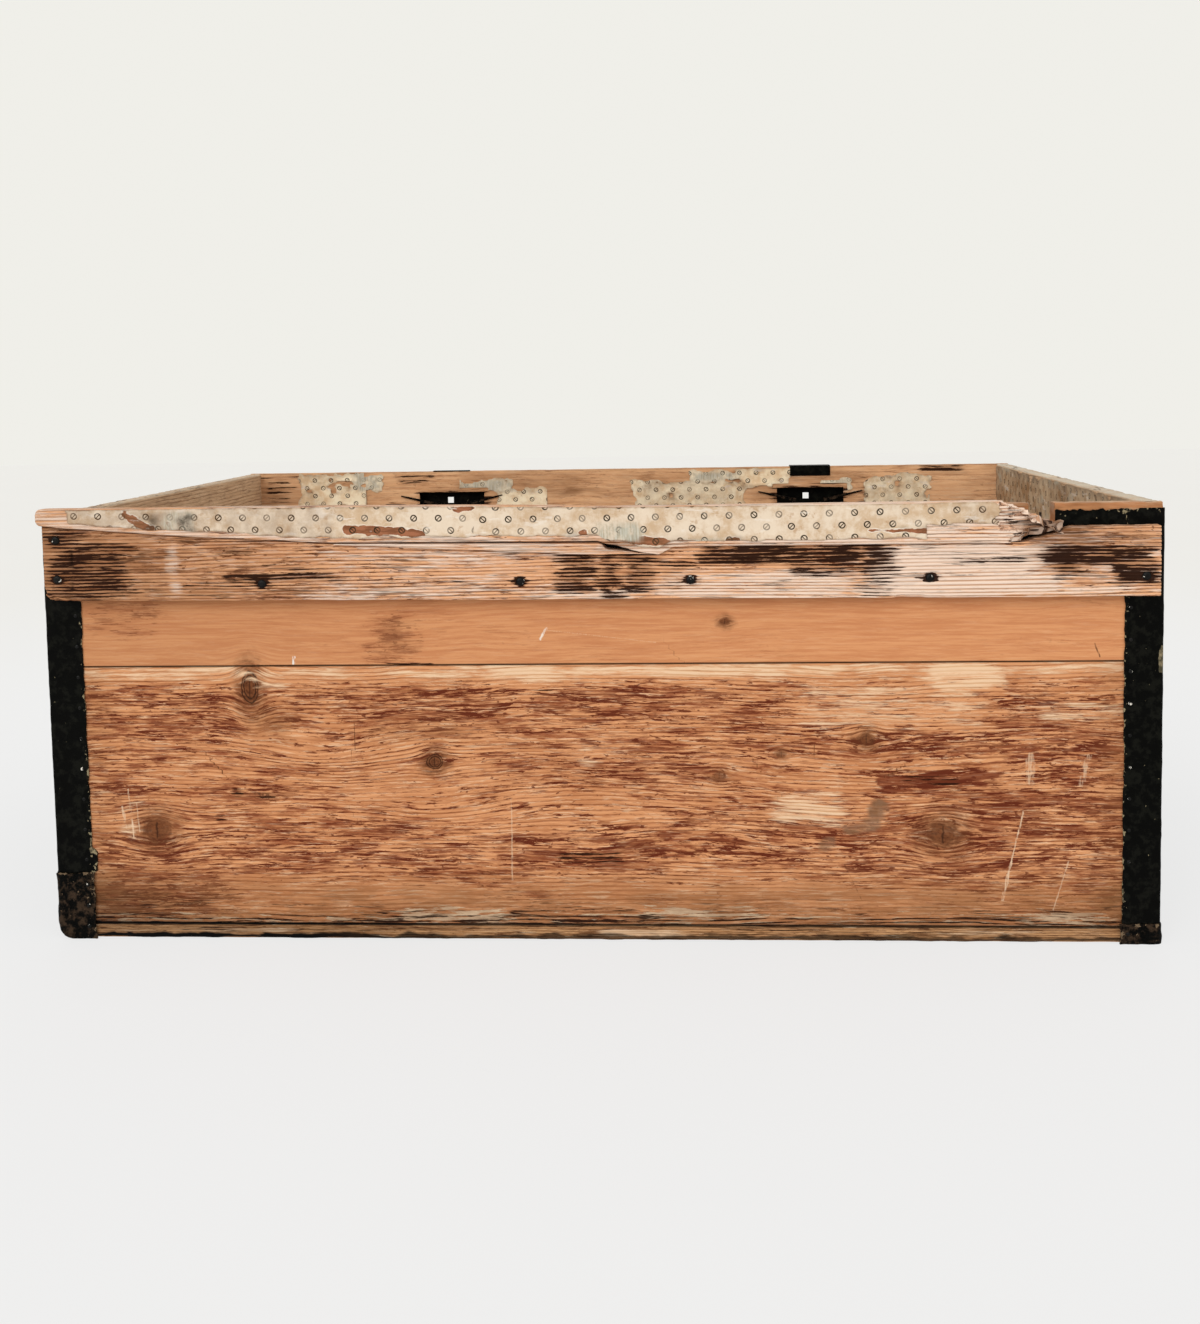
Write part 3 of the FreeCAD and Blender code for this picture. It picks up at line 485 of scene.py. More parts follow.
def wood(name, light, mid, dark, red, pitch=4.2, wander=0.006, line=0.75, streak=1.0,
         ridge=0.0004, bleached=CREAM, steady=0.4, uneven=240, bright=0.25, marks=()):
    """Bare old softwood. Its grain follows the attribute "grain"; the others say where it is knotted,
    streaked with red, stained black, bleached, flaked, cracked, dirty or lacquered. "shade" scales its
    tone, and in seams, gaps and a crack it is painted shade; on the rail "stain" also holds a line of
    painted shade along its lower edge."""
    light, mid, dark, red = (tone(*shade) for shade in (light, mid, dark, red))
    s = Shader(name, specular=0.08)
    grain = s.field("grain", "Vector")
    if wander:
        lift = grain.swing((9, 30, 14), wander, 4, 0.6)
        grain = grain.vector("ADD", s.node("ShaderNodeCombineXYZ", {1: lift}))
    fibre = grain.noise((22, 420, 200), 5, 0.7)
    broad = grain.noise((12, 90, 40), 7, 0.72, 0.2)
    late, crest = latewood(grain, pitch, steady, uneven)
    colour = (fibre * 0.6 + broad * 0.4).step(0.42, 0.58).mix(light, mid)
    colour = (late * line).mix(colour, dark)
    # Painted sheen: thin pale lines along the grain, in the bleached colour, that stand in for
    # highlights on the fibres
    painted_sheen = grain.noise((42, 600, 200), 5, 0.68, 0.2).step(0.54, 0.62)
    colour = (painted_sheen * bright).mix(colour, bleached[0])
    colour, dash = red_marks(s, colour, grain, broad, late, red, streak)
    colour = knots(s, colour, grain)
    colour, chips, crack = weather(s, colour, grain, fibre, broad, late, crest, bleached)
    for mark in marks:
        colour = scratch(s, colour, mark)
    # The attribute "shade" scales the colour: real differences of tone, and painted shade in seams,
    # gaps and the batten's left crack
    shade = {0: colour, "Scale": s.field("shade") + 1.0}
    colour = s.node("ShaderNodeVectorMath", shade, operation="SCALE")
    wear = s.place().noise(60, 5, 0.65)
    lacquer = s.field("lacquer")
    coat = lacquer.step(0.02, 0.1) * (wear + lacquer * 0.4).step(0.62, 0.66)
    colour = coat.mix(colour, wear.step(0.4, 0.8).mix(srgb(20, 17, 15), srgb(38, 30, 25)))
    rough = coat.blend(fibre.step(0.0, 1.0, *DRY), LACQUER_GLOSS)
    height = fibre * 0.5 + late * -0.35 + chips * 0.25 + crack * -0.5 + dash * -0.12
    return s.finish(colour, rough, (coat * 0.8).blend(height, 0.6), ridge)


def iron(name, deep, worn_or_highlight_colour, rust, rusty, chip_or_glint_at, chip_or_glint_colour, roughness=0.5,
         metallic=0.0, specular=0.5, lumps=0.0005):
    """Dark iron: a blackened coat, dull where worn, rusty in patches, chipped bright in spots. On the
    foot caps the worn mottle is partly painted highlight, and on nails the bright spots are painted
    glints.
    """
    deep, worn_or_highlight_colour, rust = (srgb(*shade) for shade in (deep, worn_or_highlight_colour, rust))
    s = Shader(name, metallic, specular)
    place, edge, bare = s.place(), s.field("edge"), s.field("bare")
    mottle = place.noise(110, 6, 0.68)
    grit = place.noise(900, 3, 0.6)
    # Mottle of coat and worn colour: wear, and on the foot caps partly painted highlight
    colour = mottle.step(0.46, 0.62).mix(deep, worn_or_highlight_colour)
    orange = (place.noise((38, 38, 22), 5, 0.7) + edge * 0.2).step(0.72 - rusty, 0.86 - rusty)
    colour = (orange * 0.85).mix(colour, grit.step(0.3, 0.7).mix(rust, deep))
    metal = (bare + place.swing((140, 140, 90), 2.4, 5, 0.66)).step(0.5, 0.62)
    metal = metal * bare.step(0.02, 0.2)
    colour = metal.mix(colour, mottle.step(0.4, 0.6).mix(tone(70, 66, 50), tone(138, 124, 98)))
    # Bright spots: chips in the coat, and on nail heads painted glints
    chip = place.noise((190, 190, 150), 4, 0.6) + edge * 0.15
    colour = chip.step(chip_or_glint_at, chip_or_glint_at + 0.03).mix(colour, tone(*chip_or_glint_colour))
    rough = grit.step(0.0, 1.0, roughness - 0.12, roughness + 0.12)
    return s.finish(colour, rough, grit * 0.35 + mottle * 0.65, lumps)


RING_PITCH, RING_ROW, RING_R = 24.2, 11.8, 2.8


def paper(name, clean, aged):
    """Aged lining paper with rows of printed rings, each crossed by a stroke. The attribute
    "print" counts rings along a row, and rows upwards; "bare" is above 0 where the paper's face
    is torn off and only its brown back sticks to the wood."""
    clean, aged = tone(*clean), tone(*aged)
    s = Shader(name, specular=0.06)
    place, rings = s.place(), s.field("print", "Vector")
    up = rings.axis(1)
    row = (up + 0.5).math("FLOOR")
    odd = abs(row).math("MODULO", 2.0)
    shifted = rings.axis(0) + odd * 0.5
    du = (shifted - (shifted + 0.5).math("FLOOR")) * RING_PITCH + place.swing(300, 0.9, 2)
    dv = (up - row) * RING_ROW
    radius = (du * du + dv * dv).math("SQRT")
    ring = abs(radius - RING_R).under(0.4, 0.85)
    stroke = abs((du + dv * (odd * -2.0 + 1.0)) * 0.7071)
    ink = ring.most(stroke.under(0.25, 0.7) * radius.under(RING_R, RING_R + 0.4))
    mottle = place.noise(60, 6, 0.7)
    cloud = place.noise((14, 14, 20), 4, 0.6)
    colour = (mottle * 0.7 + cloud * 0.3).step(0.42, 0.62).mix(clean, aged)
    spots = place.noise(110, 5, 0.7).step(0.6, 0.68, 0.0, 0.5)
    colour = spots.mix(colour, tone(178, 134, 92))
    torn = s.field("bare") + place.swing(240, 2.2, 4, 0.62)
    fringe = abs(torn + 0.5).under(0.2, 0.6) * mottle.step(0.45, 0.55)
    colour = (fringe * 0.7).mix(colour, tone(246, 236, 222))
    backing = place.noise((70, 70, 260), 4).step(0.4, 0.6)
    backing = backing.mix(tone(164, 106, 76), tone(130, 82, 56))
    colour = torn.step(-0.2, 0.25).mix(colour, backing)
    fade = place.noise(55, 4).step(0.4, 0.56, 0.62, 1.0)
    halo = radius.under(RING_R, RING_R + 1.6) * torn.under(-0.2, 0.2) * 0.5
    colour = halo.mix(colour, clean)
    colour = (ink * fade).mix(colour, tone(54, 44, 30))
    scuff = place.noise((36, 36, 110), 4, 0.65).step(0.6, 0.67)
    colour = (scuff * 0.55).mix(colour, tone(242, 230, 216))
    grime = s.field("grime") * place.noise(80, 5, 0.66).step(0.3, 0.65, 0.3, 1.0)
    colour = grime.mix(colour, tone(122, 88, 60))
    weave = place.noise((900, 900, 60), 2)
    fuzz = weave.step(0.35, 0.65).mix(tone(200, 196, 180), tone(170, 160, 140))
    grey = s.field("grey") * place.noise(60, 5, 0.66).step(0.36, 0.56, 0.25, 1.0)
    colour = grey.mix(colour, fuzz)
    soot = s.field("soot") * place.noise(90, 5, 0.66).step(0.35, 0.6, 0.2, 1.0)
    colour = soot.mix(colour, tone(48, 38, 28))
    return s.finish(colour, 0.85, mottle + weave * 0.2, 0.0005)


PALE_SCRATCH = tone(228, 196, 164)
DARK_SCRATCH = tone(78, 44, 26)
LOWER_SCRATCHES = [
    (-474, 154, -470, 104, 1.1, 0.8, PALE_SCRATCH), (-481, 136, -478, 114, 1.6, 0.7, PALE_SCRATCH),
    (-466, 140, -464, 110, 0.8, 0.6, PALE_SCRATCH), (-84, 144, -85, 61, 1.0, 0.5, PALE_SCRATCH),
    (425, 187, 425, 162, 4.5, 0.55, PALE_SCRATCH), (481, 186, 474, 158, 3.5, 0.55, PALE_SCRATCH),
    (419, 132, 407, 80, 0.9, 0.85, PALE_SCRATCH), (408, 84, 399, 43, 1.6, 0.8, PALE_SCRATCH),
    (463, 83, 448, 33, 0.9, 0.5, PALE_SCRATCH), (245, 78, 262, 42, 0.6, 0.5, DARK_SCRATCH),
    (-342, 150, -330, 147, 3.4, 0.9, DARK_SCRATCH),
]
UPPER_SCRATCHES = [
    (-52, 305, -45, 316, 1.6, 1.0, tone(240, 226, 210)), (-46, 314, 62, 301, 0.6, 0.35, PALE_SCRATCH),
    (-300, 283, -299, 288, 2.2, 1.0, tone(240, 232, 224)), (486, 297, 491, 284, 0.9, 0.8, DARK_SCRATCH),
]
# Millimetres between the hard lines of the batten's grain
RIDGE = 3.4

# Woods: colours of the light, middle and dark wood, and of its red marks; bright is how strong their
# painted sheen is
SOFTWOOD = wood("bare_softwood", (219, 155, 108), (194, 129, 85), (146, 86, 51), (128, 56, 31),
                bright=0.45, marks=LOWER_SCRATCHES)
UPPER_WOOD = wood("upper_softwood", (212, 149, 102), (199, 133, 89), (182, 114, 74), (142, 76, 48),
                  pitch=5.5, wander=0.002, line=0.22, streak=0.6, ridge=0.00012, bright=0.08,
                  marks=UPPER_SCRATCHES)
BATTEN_WOOD = wood("bleached_batten", (233, 176, 132), (212, 150, 106), (136, 80, 47), (116, 62, 34),
                   pitch=RIDGE, wander=0.0, line=0.8, ridge=0.0008, bleached=WHITENED,
                   steady=0.55, uneven=60, bright=0.35)
BOTTOM_WOOD = wood("bottom_wood", (204, 156, 110), (168, 120, 78), (100, 66, 40), (82, 46, 26))
INNER_WOOD = wood("lacquered_softwood", (238, 188, 142), (222, 168, 122), (190, 136, 96),
                  (140, 88, 58), pitch=7.5, line=0.3, streak=0.4, ridge=0.0003)
GREY_WOOD = wood("lacquered_softwood_grey", (236, 200, 162), (214, 176, 138), (172, 136, 104),
                 (120, 86, 62), pitch=4.5, streak=0.4)
PEG_WOOD = wood("peg_wood", (206, 166, 120), (176, 136, 92), (136, 98, 62), (110, 70, 44))
# Irons: colours of the coat, of its worn parts (partly painted highlight on the foot caps) and of rust,
# how rusty, and the bright chips (painted glints on the nails)
BLACK_IRON = iron("black_iron", (3, 3, 2), (15, 15, 11), (34, 26, 16), 0.0, 0.7, (140, 128, 100),
                  roughness=0.4, specular=0.04)
# Foot caps: the rust-brown mottle is partly rust and partly painted highlight on the hammered iron
RUSTY_IRON = iron("rusty_iron", (1, 1, 0), (54, 41, 30), (54, 35, 21), 0.03, 0.69, (118, 98, 76),
                  roughness=0.42, specular=0.04, lumps=0.0032)
# Nail and tack heads: the bright spots are painted glints
NAIL_IRON = iron("nail_iron", (8, 7, 6), (20, 18, 16), (50, 34, 24), 0.04, 0.6, (226, 220, 208),
                 roughness=0.4, specular=0.12)
FORGED_IRON = iron("forged_iron", (32, 28, 25), (68, 61, 55), (96, 62, 40), 0.1, 0.8,
                   (150, 138, 120), metallic=0.3, specular=0.25)
RAIL_PAPER = paper("printed_paper", (234, 215, 192), (208, 178, 145))
FAR_PAPER = paper("printed_paper_far", (255, 238, 206), (234, 202, 162))
END_PAPER = paper("printed_paper_end", (208, 182, 150), (166, 130, 94))

# ---------------------------------------------------------------- the batten side's planks

# Knots: x, z, half width, half height, darkness
KNOTS = [(-345, 258, 8.5, 16, 1.0), (-160, 182, 8, 7.5, 0.95), (-446, 112, 15, 13, 0.84),
         (341, 108, 15, 13, 0.84), (267, 204, 8, 7, 0.75), (184, 189, 5, 4, 0.6),
         (123, 167, 7, 5, 0.5), (130, 321, 5, 4, 0.8)]
# How far from a knot, in half widths, its place is still told apart
FAR_OFF = 9
# Where the grain's lines bow up or down: x, z, half width, half height, height
FIGURE = [(-268, 190, 75, 26, 13), (-30, 150, 90, 28, -8), (300, 165, 110, 26, 8),
          (120, 112, 95, 24, -7), (-150, 130, 70, 20, 7), (440, 200, 70, 24, -6)]
# Marks on the lower plank: x from and to, z from and to, strength
STREAKED = [
    (-530, -360, 205, 258, 0.85), (-360, -180, 224, 256, 0.6), (-180, -70, 210, 256, 1.05),
    (-70, 130, 222, 258, 0.75), (130, 200, 205, 250, 0.7), (390, 530, 205, 250, 0.7),
    (-520, -440, 130, 205, 0.5), (-100, 140, 150, 215, 0.55), (140, 420, 188, 212, 0.85),
    (279, 400, 148, 175, 1.2), (-370, -310, 138, 160, 1.1), (-390, -372, 118, 130, 1.2),
    (-355, -175, 104, 128, 0.7), (-520, -380, 58, 112, 0.9), (-380, -100, 64, 104, 0.6),
    (-90, 70, 70, 114, 1.15), (70, 330, 66, 130, 0.7), (330, 530, 60, 150, 0.9),
    (400, 530, 150, 205, 0.85), (-520, -380, 20, 60, 1.2), (460, 530, 16, 60, 0.8),
]
FADED = [(-112, 252, 264, 279, 0.7), (-520, -112, 266, 278, 0.5), (252, 329, 266, 280, 0.4),
         (329, 396, 250, 280, 0.8), (396, 520, 268, 279, 0.5), (204, 378, 214, 258, 0.4),
         (-335, -300, 256, 266, 0.5), (172, 246, 118, 150, 0.55), (430, 520, 222, 240, 0.4),
         (-24, 5, 178, 199, 0.35), (-486, -462, 104, 154, 0.3), (-150, -130, 164, 174, 0.3)]
BLOTS = [(-364, -352, 146, 154, 0.7), (-340, -322, 144, 150, 0.7), (-384, -376, 120, 128, 0.6),
         (-60, -34, 248, 258, 0.3), (-40, 25, 76, 90, 0.35), (300, 360, 156, 168, 0.3)]
SOOTY = [(-352, -300, 205, 240, 0.45), (-230, -120, 205, 222, 0.3)]
FLAKED = [(49, 162, 23, 37, 1.0), (417, 481, 19, 33, 1.0), (-199, -85, 18, 34, 1.0)]
# Grey-brown blots: from (x, z) to (x, z), half their width, strength
GREYED = [(250, 113, 272, 117, 5, 1.0), (272, 119, 279, 136, 8, 1.0), (226, 97, 230, 101, 6, 0.7)]
RED_SMEAR = (284, 159, 388, 166, 8)


def knotted(x, z):
    """Grain level bowed round the knots, and the place of each point in its nearest knot."""
    level = np.array(z, float)
    for at_x, at_z, half_x, half_z, height in FIGURE:
        level = level + height * np.exp(-((x - at_x) / half_x) ** 2 - ((z - at_z) / half_z) ** 2)
    nearest = np.stack([np.full(len(x), float(FAR_OFF))] * 2 + [np.zeros(len(x))], 1)
    for knot_x, knot_z, half_x, half_z, dark in KNOTS:
        s, t = (x - knot_x) / half_x, (z - knot_z) / half_z
        level = level - 0.8 * (z - knot_z) * np.exp(-(s / 2.0) ** 2 - (t / 1.8) ** 2)
        closer = np.hypot(s, t) < np.hypot(nearest[:, 0], nearest[:, 1])
        found = [np.clip(s, -FAR_OFF, FAR_OFF), np.clip(t, -FAR_OFF, FAR_OFF), np.full(len(x), dark)]
        nearest = np.where(closer[:, None], np.stack(found, 1), nearest)
    return level, nearest


def batten_side_look(x, y, level, knot, seed):
    """How far a point lies on the outer face, and the fields both planks there have."""
    front = facing(-y, HALF_DEPTH)
    at = knot * front[:, None] + FAR_OFF * (1 - front[:, None])
    return front, dict(grain=plank_grain(x, y, level, seed), knot_at=at)


def long_plank(node, side, step_x, step_z, material, slot, relief, fields, cut=((), (), None)):
    """A plank of a long wall: worn, and its ends rebated to lap over the end walls. cut gives
    places and cells that are cut away."""
    low, high = corners(node)
    xs = through(levels(low[0], high[0], step_x), -INNER_X, INNER_X, *cut[0])
    ys = np.linspace(low[1], high[1], 5)
    zs = through(levels(low[2], high[2], step_z), *cut[1])
    x, y, z = middles(xs, ys, zs)
    solid = (abs(x) < INNER_X) | (side * y > HALF_DEPTH - LAP)
    if cut[2]:
        solid &= ~cut[2](x, y, z)
    place, quads = lattice(xs, ys, zs, solid)
    x, y, z = place.T
    radius = 1.1 + 0.5 * noise(11, x / 40, y / 9, z / 40, octaves=2)
    moved = worn(place, low, high, radius, relief(x, y, z))
    piece(node, rounded_foot(moved), quads, slot, material, **fields(x, y, z))


def in_metres(*parts):
    """Grain coordinates: along the grain, across it and through the board."""
    return np.stack(parts, 1) * MM


def plank_grain(x, y, z, seed):
    """The grain of a board that lies along X."""
    bend = 4 * noise(seed, x / 260, z / 90) + 1.2 * noise(seed + 3, x / 60, z / 25)
    return in_metres(x + 700 * seed, z + bend + 37 * seed, y * 0.6)


def lower_plank():
    """The streaked, flaked lower plank of the batten side."""
    def relief(x, y, z):
        level, knot = knotted(x, z)
        away = np.hypot(knot[:, 0], knot[:, 1])
        ridges = 0.12 * noise(21, x / 45, level / 2.4, octaves=2)
        cup = -0.25 * smooth(-away, -1.5, -0.8) + 0.5 * smooth(-away, -0.9, -0.3)
        pits = -0.6 * smooth(noise(22, x / 18, z / 3.0, octaves=3), 0.3, 0.6) * smooth(-z, -50, -18)
        return ridges + cup * (knot[:, 2] > 0.7) + pits

    def fields(x, y, z):
        front, look = batten_side_look(x, y, *knotted(x, z), 1)
        dense = 0.26 + 0.3 * noise(31, x / 90, z / 22, octaves=3) + patches(x, z, STREAKED, 22, 9, 33)
        smear = capsule(x, z, RED_SMEAR) + 7 * noise(32, x / 14, z / 4, octaves=3)
        dense = dense + 1.5 * smooth(smear, -2, 3)
        calm = 1 - 0.55 * smooth(-z, -64, -50) * smooth(x, -400, -340)
        calm = (1 - 0.9 * smooth(z, 258, 268)) * calm
        stain = patches(x, z, BLOTS, 8, 3, 41) + 0.4 * smooth(-z, -32, -18)
        low_dirt = 0.66 * smooth(-z, -84, -34) + 0.3 * smooth(abs(x), 470, 512)
        wander = 1.6 * noise(47, x / 6, z / 4, octaves=3)
        grey = np.maximum.reduce([smooth(capsule(x, z, blot) + wander, -0.8, 1.2) * strength
                                  for *blot, strength in GREYED])
        dirt = np.maximum.reduce([grey, low_dirt, patches(x, z, SOOTY, 22, 10, 49)])
        flakes = 0.8 * smooth(-z, -38, -22) + 0.1 + 0.8 * patches(x, z, FLAKED, 16, 4, 48)
        # Painted shade: a dark line along the top, in the seam under the upper plank, and one along the
        # bottom, in the gap above the bottom board
        shade = -0.88 * smooth(z, 278.4, 279.6) - 0.8 * smooth(-z, -17.6, -16.4)
        shade = shade - 0.4 * smooth(-x, 330, 520) * smooth(-z, -100, -30)
        shade = shade - 0.12 * smooth(-z, -34, -18)
        shade = shade - 0.16 * smooth(x, 440, 530) * smooth(-z, -100, -20)
        return dict(look, streaks=np.clip(dense, 0, 1.9) * calm * front, stain=stain * front,
                    pale=patches(x, z, FADED, 16, 6, 43) * front + 0.12 * (1 - front),
                    flakes=front * flakes, shade=shade * front, dust=0.08 * grey * front,
                    cracks=front * smooth(-z, -54, -26),
                    dirt=np.maximum(dirt * front, 0.5 * (1 - front)))

    long_plank("batten_side_plank_lower", -1, 4.0, 1.9, SOFTWOOD, "bare_softwood", relief, fields)


def upper_plank():
    """The smoother, narrower plank above it, with the broken notch in its rim."""
    x0, x1, bottom = NOTCH

    def cut(x, y, z):
        return (x > x0) & (x < x1) & (z > bottom)

    def relief(x, y, z):
        break_up = smooth(z, bottom - 6, bottom + 4) * smooth(x, x0 - 20, x0)
        rough = break_up * (noise(52, x / 5, y / 3, z / 5, octaves=3) - 0.4) * 1.4
        return 0.05 * noise(51, x / 60, z / 3, octaves=2) + rough

    def fields(x, y, z):
        front, look = batten_side_look(x, y, *knotted(x, z), 2)
        rim = smooth(z, RIM_Z - 16, RIM_Z - 4)
        stain = patches(x, z, [(-212, -155, 278, 282, 0.5), (-50, 0, 278, 281.5, 0.4)], 12, 1, 53)
        smudge = patches(x, z, [(-214, -182, 284, 326, 0.8), (-500, -440, 318, 345, 0.3)], 16, 12, 57)
        broken = soft_box(x, z, x0 - 8, x1 + 6, bottom, RIM_Z, 3, 4)
        broken = np.maximum(broken, 0.7 * rim * front)
        shade = 0.06 * smooth(x, -300, 400) - 0.1 * smooth(-x, 150, 520)
        # Painted shade: a dark line along the bottom, in the seam over the lower plank
        shade = shade - 0.8 * smooth(-z, -281.2, -280.2)
        dirt = [0.5 * (1 - front), 0.25 * rim + 0.6 * broken, 0.3 * smudge * front]
        streaks = front * (0.05 + 0.05 * noise(58, x / 80, z / 20) + 1.9 * smudge)
        return dict(look, streaks=streaks, stain=stain * front, shade=shade * front,
                    pale=0.3 * rim + 0.12 * (1 - front), dirt=np.maximum.reduce(dirt),
                    dust=0.2 * rim * (1 - front))

    long_plank("batten_side_plank_upper", -1, 5.0, 2.2, UPPER_WOOD, "bare_softwood", relief, fields,
               ((x0, x1), (bottom,), cut))


# ---------------------------------------------------------------- the other walls and the bottom


def lacquer_left(run, z, half, seed):
    """How much of a wall's black lacquer is left: less near its edges, along the seam and in
    scuffs. run is the place along the wall, and half is half the wall's length."""
    edges = np.minimum.reduce([abs(z - RIM_Z), half - abs(run), 1.6 * (z - FLOOR_Z)])
    scuffs = 0.62 * smooth(noise(seed, run / 60, z / 16, octaves=4), 0.3, 0.6)
    seam = smooth(noise(seed + 1, run / 50, octaves=3), -0.1, 0.3)
    seam = 0.55 * smooth(-abs(z - SEAM_Z), -4, 0) * seam
    return np.clip(0.35 + 0.65 * smooth(edges, 0, 25) - np.maximum(scuffs, seam), 0, 1)


LOCK_SIDE_STAINS = [
    (424, 483, 426, 434, 0.9), (-345, -318, 382, 390, 0.7), (-524, -486, 392, 424, 0.35),
    (-330, -280, 416, 431, 0.45), (340, 350, 380, 420, 0.3), (-540, -470, 424, 432, 0.35),
    *[(x0 - 5, x1 + 5, WINDOW_Z[0], WINDOW_Z[1] + 4, 0.6) for x0, x1 in LOCK_WINDOWS]]
LOCK_SIDE_BROWN = [(-540, -360, 380, 430, 0.36), (-230, -60, 395, 432, 0.5),
                   (180, 240, 380, 425, 0.5), (10, 190, 395, 430, 0.4),
                   (300, 330, 380, 420, 0.45), (250, 330, 405, 430, 0.4)]


def lock_side_planks():
    """The far wall: bare inside with lock windows, lacquered outside."""
    def relief(x, y, z):
        rim = smooth(z, RIM_Z - 6, RIM_Z)
        grain = 0.1 * noise(61, x / 50, z / 3, octaves=2)
        return grain - rim * 0.8 * abs(noise(62, x / 18, y / 6, octaves=3))

    def fields(x, y, z):
        inside, rim = facing(-y, -INNER_Y), facing(z, RIM_Z)
        dirt = 0.08 + 0.35 * smooth(-z, -380, -200)
        dirt = np.maximum(patches(x, z, LOCK_SIDE_BROWN, 26, 10, 65), dirt)
        dirt = dirt + 0.25 * smooth(noise(69, x / 36, z / 9, octaves=4), 0.1, 0.5)
        pale = 0.3 * inside * (0.3 + noise(64, x / 60, z / 22, octaves=2)) + 0.3 * rim
        return dict(grain=plank_grain(x, y, z, 3), pale=pale,
                    streaks=0.4 * inside * (0.6 + noise(66, x / 60, z / 18)),
                    stain=patches(x, z, LOCK_SIDE_STAINS, 9, 3, 63) * inside,
                    dirt=np.clip(dirt * inside + 0.5 * np.maximum(rim, 1 - inside), 0, 1),
                    lacquer=(1 - inside) * (1 - rim) * lacquer_left(x, z, HALF_LENGTH, 67))

    def cut(x, y, z):
        tall = (z > WINDOW_Z[0]) & (z < WINDOW_Z[1])
        return np.logical_or.reduce([(x > x0) & (x < x1) & tall for x0, x1 in LOCK_WINDOWS])

    windows = (sum(LOCK_WINDOWS, ()), WINDOW_Z, cut)
    for level, step_x, step_z, holes in (("upper", 5.0, 2.4, [windows]), ("lower", 8.0, 4.0, [])):
        long_plank("lock_side_plank_" + level, 1, step_x, step_z, INNER_WOOD, "lacquered_softwood",
                   relief, fields, *holes)


def end_planks():
    """The end walls, between the laps: grey-brown inside, lacquered outside."""
    for (end, side), level in itertools.product((("left", -1), ("right", 1)), ("lower", "upper")):
        node = "%s_end_plank_%s" % (end, level)
        low, high = corners(node)
        place, quads = lattice(np.linspace(low[0], high[0], 5), levels(low[1], high[1], 5.0),
                               levels(low[2], high[2], 2.4))
        x, y, z = place.T
        outside = facing(side * x, HALF_LENGTH)
        rim = smooth(z, RIM_Z - 3, RIM_Z - 0.5)
        relief = 0.12 * noise(71, y / 45, z / 2.6, octaves=2)
        relief = relief - rim * 1.6 * abs(noise(72, y / 14, x / 5, octaves=3))
        radius = 1.4 + 0.7 * noise(73, y / 30, z / 30, octaves=2) + 0.9 * rim
        moved = rounded_foot(worn(place, low, high, radius, relief))
        bend = 4 * noise(74, y / 200, z / 70) + noise(75, y / 50, z / 20)
        dusty = rim * (0.9 if side > 0 else 0.5)
        piece(node, moved, quads, "lacquered_softwood", GREY_WOOD, cracks=0.6 * rim,
              grain=in_metres(y + 900 * side, z + bend, x * 0.6), streaks=0.3 * (1 - outside),
              pale=dusty + 0.15 * (1 - outside), dust=0.9 * dusty,
              dirt=np.clip(0.5 * (rim - dusty) + 0.15 + 0.4 * outside, 0, 1),
              lacquer=outside * (1 - rim) * lacquer_left(y, z, HALF_DEPTH, 76 + 3 * side))


# Marks on the front edge of the bottom: x from and to, z from and to, strength
EDGE_WEAR = [(2, 82, 3, 10, 1.0), (-500, -300, 6, 11, 0.5), (330, 480, 6, 12, 0.4)]
EDGE_SPOTS = [(262, 270, 3, 9, 0.9), (-430, -380, 8, 12, 0.5), (140, 220, 9, 12, 0.5)]


def bottom_boards():
    """The floor of the chest; its front edge shows, torn and dirty, under the lower plank, with painted
    shade along its foot and in the gap above it.
    """
    for order, name in enumerate(("batten_side", "middle", "lock_side")):
        node = "bottom_board_" + name
        low, high = corners(node)
        place, quads = lattice(levels(low[0], high[0], 3.0), levels(low[1], high[1], 7.0),
                               levels(low[2], high[2], 1.1, edge=False))
        x, y, z = place.T
        outer = smooth(-y, HALF_DEPTH - 3, HALF_DEPTH - 0.5) if name == "batten_side" else 0 * y
        torn = 0.6 + 2.2 * abs(noise(81, x / 22, octaves=4))
        torn = torn + 3.4 * smooth(noise(82, x / 45, octaves=2), 0.0, 0.6)
        radius = np.where(z < FLOOR_Z / 2, 1.0 + outer * torn, 0.7)
        relief = outer * 0.9 * (noise(83, x / 14, z / 1.8, octaves=3) - 0.5)
        moved = rounded_foot(worn(place, low, high, radius, relief))
        bend = 3 * noise(84 + order, x / 200, y / 60)
        # Painted shade: a dark ragged band along the front edge's foot, by the floor, and a dark line
        # at its top, in the gap under the lower plank
        ragged = 5.2 + 3.8 * noise(87, x / 16, octaves=4)
        shade = -0.75 * smooth(ragged - z, -1.2, 1.2) - 0.88 * smooth(z, 13.4, 14.8)
        shade = shade - 0.35 * smooth(-x, 0, 450)
        # Painted shade along the seams between the bottom boards, on their faces away from the front
        # edge
        painted_seam_shade = smooth(np.maximum(low[1] - y, y - high[1]), -3.5, -0.5)
        painted_seam_shade = painted_seam_shade * (abs(y) < HALF_DEPTH - BOARD)
        board = 0.08 * (1 - order) + 0.08 * noise(88 + order, x / 300, y / 60)
        piece(node, moved, quads, "bottom_wood", BOTTOM_WOOD, streaks=0.15 + 0.25 * outer,
              grain=in_metres(x + 300 * order, y + z * 1.7 + bend, z),
              stain=outer * patches(x, z, EDGE_SPOTS, 6, 2, 86),
              pale=outer * patches(x, z, EDGE_WEAR, 14, 2, 85),
              shade=shade * outer + (board - 0.6 * painted_seam_shade) * (1 - outer),
              cracks=0.2 + outer * 0.5, dirt=np.where(outer > 0, 0.35, 0.5), flakes=outer * 0.5)


# ---------------------------------------------------------------- batten, rail and splinter


